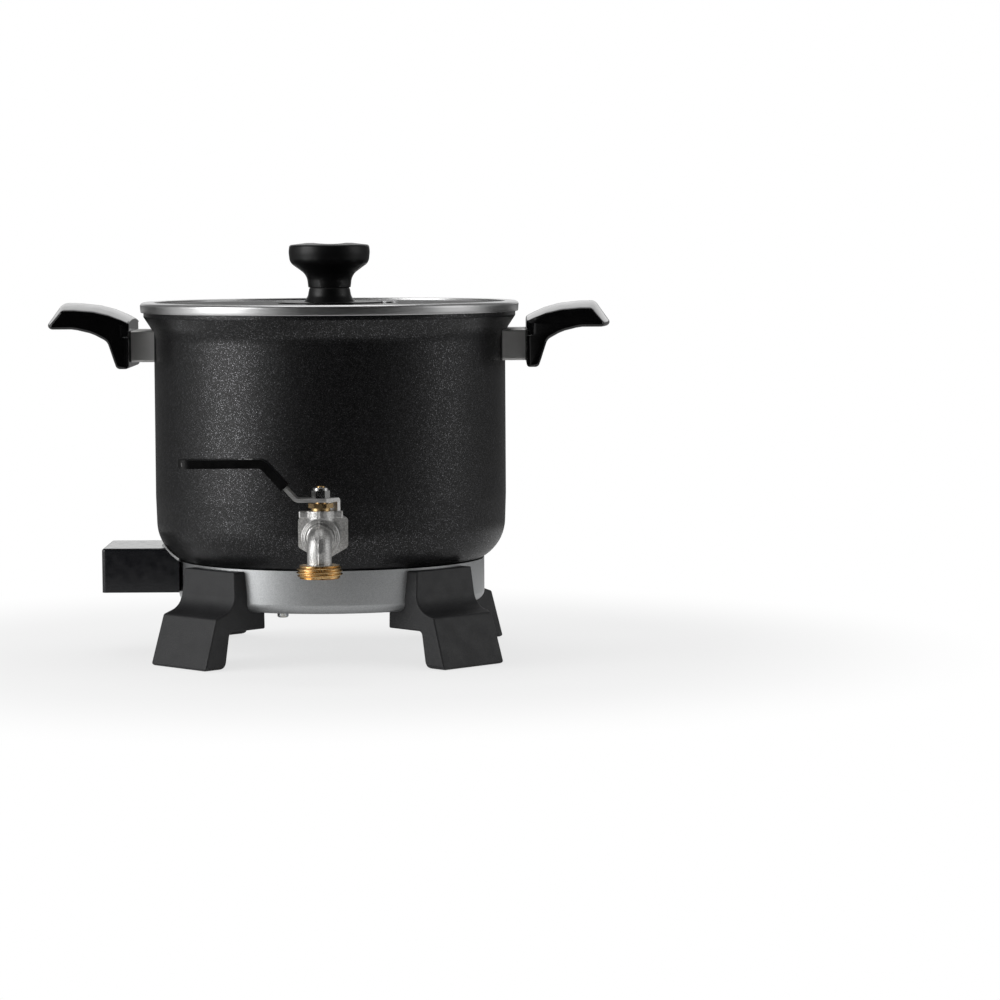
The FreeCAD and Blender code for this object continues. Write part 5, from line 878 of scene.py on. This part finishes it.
seat_ptfe = finish("ptfe")
seat_ptfe.shade({
    "Base Color": seat_ptfe.mix(seat_ptfe.noise(0.002), (0.74, 0.74, 0.72), (0.82, 0.82, 0.80)),
    "Roughness": 0.42,
    "Normal": seat_ptfe.relief(seat_ptfe.noise(0.0006), 0.00001),
})
dress(seat_ptfe, "tap_seats", "stem_packing")


# ---------------------------------------------------------------- Lever
# A strap of stainless steel, bent up from the stem and out to the side, in a dipped black vinyl
# sleeve that has its two positions printed on it. A nut with a nylon insert holds it.

lever_steel = finish("satin_stainless")
satin = lever_steel.noise(0.0003, lever_steel.place(stretch=(0.06, 1, 1)))
lever_steel.shade({
    "Base Color": lever_steel.mix(satin, (0.64, 0.635, 0.62), (0.76, 0.755, 0.745)),
    "Metallic": 1.0,
    "Roughness": lever_steel.ramp(satin, 0.35, 0.65, 0.38, 0.48),
    "Normal": lever_steel.relief(satin, 0.00001),
})
dress(lever_steel, "tap_lever")

nut_steel = finish("turned_stainless")
facing = nut_steel.noise(0.0005, detail=2.0)
nut_steel.shade({
    "Base Color": nut_steel.mix(facing, (0.60, 0.60, 0.59), (0.72, 0.72, 0.71)),
    "Metallic": 1.0,
    "Roughness": nut_steel.ramp(facing, 0.3, 0.7, 0.14, 0.24),
    "Normal": nut_steel.relief(facing, 0.000008),
})
dress(nut_steel, "lever_nut")

lever_vinyl = finish("dipped_vinyl")
sag = lever_vinyl.noise(0.005, detail=3.0)
lever_vinyl.shade({
    "Base Color": lever_vinyl.mix(sag, (0.0014, 0.0014, 0.0015), (0.0026, 0.0026, 0.0028)),
    "Roughness": lever_vinyl.ramp(sag, 0.3, 0.7, 0.34, 0.44),
    "Specular IOR Level": 0.2,
    "Normal": lever_vinyl.relief(sag, 0.00006),
})
dress(lever_vinyl, "lever_sleeve")

SLEEVE_TOP, STEM_REACH, WORDS_FROM = 0.1268, 0.136, -0.0388
ARC_MIDDLE, ARC_RADIUS, ARC_SWING, ARROW_SWING = -0.0428, 0.0042, 58, 20


def on_sleeve(shift):
    """Lays words on the sleeve, from the stem out to the tip, shift away from its middle line."""
    return lambda at: np.stack([WORDS_FROM - at[:, 0], -STEM_REACH + shift - at[:, 1],
                                SLEEVE_TOP + at[:, 2]], -1)


swing = np.radians(np.linspace(-ARC_SWING, ARC_SWING, 25))
arc = [(ARC_MIDDLE - ARC_RADIUS * math.cos(a), -STEM_REACH + ARC_RADIUS * math.sin(a), SLEEVE_TOP)
       for a in swing]
ends = np.clip((ARC_SWING - np.abs(np.degrees(swing))) / ARROW_SWING, 0, 1)
arrow = np.where(ends < 0.99, 0.00075 * ends + 0.00002, 0.0003)
mesh_object("turn_mark", joined_solids("turn_mark", [
    printed_stroke(arc, arrow, 0.00006, (0, 0, 1))]), white_print, "lever")
for words, shift in (("OFF", 0.0038), ("ON", -0.0016)):
    mark = moved(lettering(words, 0.0030, 0.00012), on_sleeve(shift))
    mesh_object(f"{words.lower()}_mark", mark, white_print, "lever")

nut_nylon = finish("blue_nylon")
nut_nylon.shade({
    "Base Color": nut_nylon.mix(nut_nylon.noise(0.001), (0.020, 0.045, 0.16), (0.030, 0.062, 0.21)),
    "Roughness": 0.4,
    "Normal": nut_nylon.relief(nut_nylon.noise(0.0006), 0.00001),
})
dress(nut_nylon, "nut_insert")


# ---------------------------------------------------------------- Lid
# Tempered float glass, domed a little, in a rolled rim of bright stainless strip, with a small vent
# eyelet of the same steel.

lid_glass = finish("tempered_glass")
lid_glass.shade({
    "Base Color": (0.95, 0.97, 0.96),
    "Roughness": lid_glass.ramp(lid_glass.noise(0.02), 0.3, 0.7, 0.0, 0.015),
    "Transmission Weight": 1.0,
    "IOR": 1.42,
    "Normal": lid_glass.relief(lid_glass.noise(0.03), 0.00001),
})
dress(lid_glass, "lid_glass")

lid_steel = finish("bright_stainless")
roll = lid_steel.noise(0.0003, lid_steel.place(stretch=(0.04, 0.04, 1)))
lid_steel.shade({
    "Base Color": lid_steel.mix(roll, (0.60, 0.60, 0.60), (0.72, 0.72, 0.72)),
    "Metallic": 1.0,
    "Roughness": lid_steel.ramp(roll, 0.35, 0.65, 0.29, 0.35),
    "Normal": lid_steel.relief(lid_steel.noise(0.01), 0.00002),
})
dress(lid_steel, "lid_rim", "vent_eyelet")

# The rolled strip's section, in millimetres: radius, height and corner radius.
RIM_SECTION = [
    (107.2, 214.4, 0.25), (115.3, 214.6, 2.4), (115.35, 211.2, 20.0), (114.95, 208.3, 0.5),
    (114.2, 208.3, 0.2), (114.2, 209.05, 0.1), (110.9, 209.05, 0.1), (110.9, 206.8, 0.3),
    (110.2, 206.8, 0.3), (110.2, 208.9, 0.1), (107.9, 208.9, 0.1), (107.9, 209.72, 0.05),
    (110.55, 209.72, 0.05), (110.55, 213.72, 0.05), (107.2, 213.72, 0.05),
]


def turned_mesh(name, corners, around=256, spacing=0.5):
    """A closed section of (radius, height, corner radius) carried round the pot's axis."""
    section = outline_with_corners(corners, spacing) / 1000
    turn = np.linspace(0, 2 * np.pi, around, endpoint=False)[:, None]
    points = np.stack([section[:, 0] * np.cos(turn), section[:, 0] * np.sin(turn),
                       np.repeat(section[None, :, 1], around, 0)], -1)
    return grid_mesh(name, points, (True, True))


rim_mesh = turned_mesh("rolled_rim", RIM_SECTION)
rolled_rim = mesh_object("rolled_rim", rim_mesh, lid_steel, "lid")
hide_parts("lid_rim")


# ---------------------------------------------------------------- Knobs
# The lid's knob, its collar and the dial are black phenolic with the satin skin that the mould
# leaves. A thin black disc lies on the glass round the collar, and a rubber ring fills the gap
# between collar and knob. One screw up through the glass holds knob and collar.

GLASS_DISC = [(15.7, 213.65, 0.05), (31.6, 213.65, 0.1), (31.6, 214.2, 0.25), (15.7, 214.2, 0.1)]
KNOB_SPACER = [(11.15, 222.28, 0.05), (12.0, 222.28, 0.1), (12.0, 222.92, 0.1),
               (11.15, 222.92, 0.05)]

knob_plastic = finish("satin_phenolic")
skin = knob_plastic.noise(0.007, detail=4.0)
knob_plastic.shade({
    "Base Color": knob_plastic.mix(skin, (0.0030, 0.0030, 0.0032), (0.0045, 0.0045, 0.0048)),
    "Roughness": knob_plastic.ramp(skin, 0.3, 0.7, 0.33, 0.40),
    "Specular IOR Level": 0.34,
    "Normal": knob_plastic.relief(knob_plastic.noise(0.0005, detail=3.0), 0.000012),
})
dress(knob_plastic, "knob_collar", "lid_knob", "dial_knob")
mesh_object("glass_disc", turned_mesh("glass_disc", GLASS_DISC, spacing=3.0),
            knob_plastic, "lid")
mesh_object("knob_spacer", turned_mesh("knob_spacer", KNOB_SPACER, around=96),
            black_rubber, "lid")


# ---------------------------------------------------------------- Studio
# A pale table under a white surround, with a large soft light on the left, a weaker one on the
# right and one above. The surround that metal and gloss mirror is darker than the one that is seen.

surround = Finish(bpy.data.worlds.new("surround"))
bpy.context.scene.world = surround.owner
sky = surround.node("TexCoord", output="Generated")
side, back, up = (surround.node("SeparateXYZ", {}, {0: sky}, axis) for axis in "XYZ")
ray, glossy, through = (surround.node("LightPath", output=f"Is {kind} Ray")
                        for kind in ("Camera", "Glossy", "Transmission"))
backdrop = (surround.ramp(side * side, 0.05, 0.25, 1.0, 0.0) * surround.ramp(back, 0.0, 0.3)
            * surround.ramp(up, 0.030, 0.060, 0.05, 1.0) * surround.ramp(up, 0.35, 0.7, 1.0, 0.1))
left_glow = surround.ramp(side * -0.94 + back * -0.34, 0.62, 0.99, 0.0, 0.6)
right_glow = surround.ramp(side * 0.99 + back * -0.1, 0.60, 0.99, 0.0, 0.2)
behind = surround.ramp(back, -0.5, 0.3, 0.0, 0.12)
mirror = (behind + left_glow + right_glow) * (1 - backdrop) + backdrop
level = ray + (1 - ray) * (glossy * mirror + through * mirror + (1 - glossy) * (1 - through) * 0.4)
background = surround.node("Background", {}, {"Color": (1.0, 1.0, 1.0), "Strength": level})
surround.node("OutputWorld", {}, {"Surface": background})


def sheet_of_light(name, place, aim, size, power):
    """A rectangular lamp at a place, turned to face a point."""
    lamp = bpy.data.lights.new(name, "AREA")
    lamp.shape, lamp.size, lamp.size_y, lamp.energy = "RECTANGLE", *size, power
    turn = (Vector(aim) - Vector(place)).to_track_quat("-Z", "Y").to_matrix().to_4x4()
    placed(name, lamp).matrix_world = Matrix.Translation(place) @ turn


middle = (0.0, 0.0, 0.12)
sheet_of_light("left_softbox", (-1.8, -0.86, 0.75), middle, (1.25, 1.7), 21.0)
sheet_of_light("right_softbox", (1.98, -0.3, 0.7), middle, (1.1, 1.6), 5.2)
sheet_of_light("top_softbox", (0.0, 0.3, 1.9), middle, (1.2, 1.2), 8.0)

table = finish("pale_table")
seen = (table.node("LightPath", output="Is Camera Ray")
        + (table.node("LightPath", output="Is Glossy Ray")
           + table.node("LightPath", output="Is Transmission Ray")) * 0.2)
far = table.ramp(table.distance(table.place()), 0.22, 0.42, 0.72, 1.0)
lit = table.node("BsdfDiffuse", {}, {"Color": (0.85, 0.85, 0.85)})
glow = table.node("Emission", {}, {"Color": (1.0, 1.0, 1.0), "Strength": 1.0})
table.node("OutputMaterial", {}, {"Surface": table.node(
    "MixShader", {}, {0: table.node("Clamp", {}, {"Value": seen}) * far, 1: lit, 2: glow})})
HALF_TABLE, TABLE_DROP = 0.44, 0.0003
corners = np.array([[[1, -1, 0], [1, 1, 0]], [[-1, -1, 0], [-1, 1, 0]]]) * HALF_TABLE
floor_mesh = grid_mesh("table_top", corners - (0, 0, TABLE_DROP))
floor_mesh.materials.append(table.owner)
placed("table_top", floor_mesh)

lens = bpy.data.cameras.new("camera")
lens.lens, lens.sensor_width, lens.clip_end = 129.7, 36.0, 50.0
CAMERA_PLACE, PAN, TILT, ROLL = (0.0998, -2.2022, 0.2588), -0.0016, math.pi / 2 - 0.0755, -0.0054
camera = placed("camera", lens)
camera.matrix_world = (Matrix.Translation(CAMERA_PLACE) @ Matrix.Rotation(PAN, 4, "Z")
                       @ Matrix.Rotation(TILT, 4, "X") @ Matrix.Rotation(ROLL, 4, "Z"))
bpy.context.scene.camera = camera
bpy.context.scene.view_settings.view_transform = "Standard"
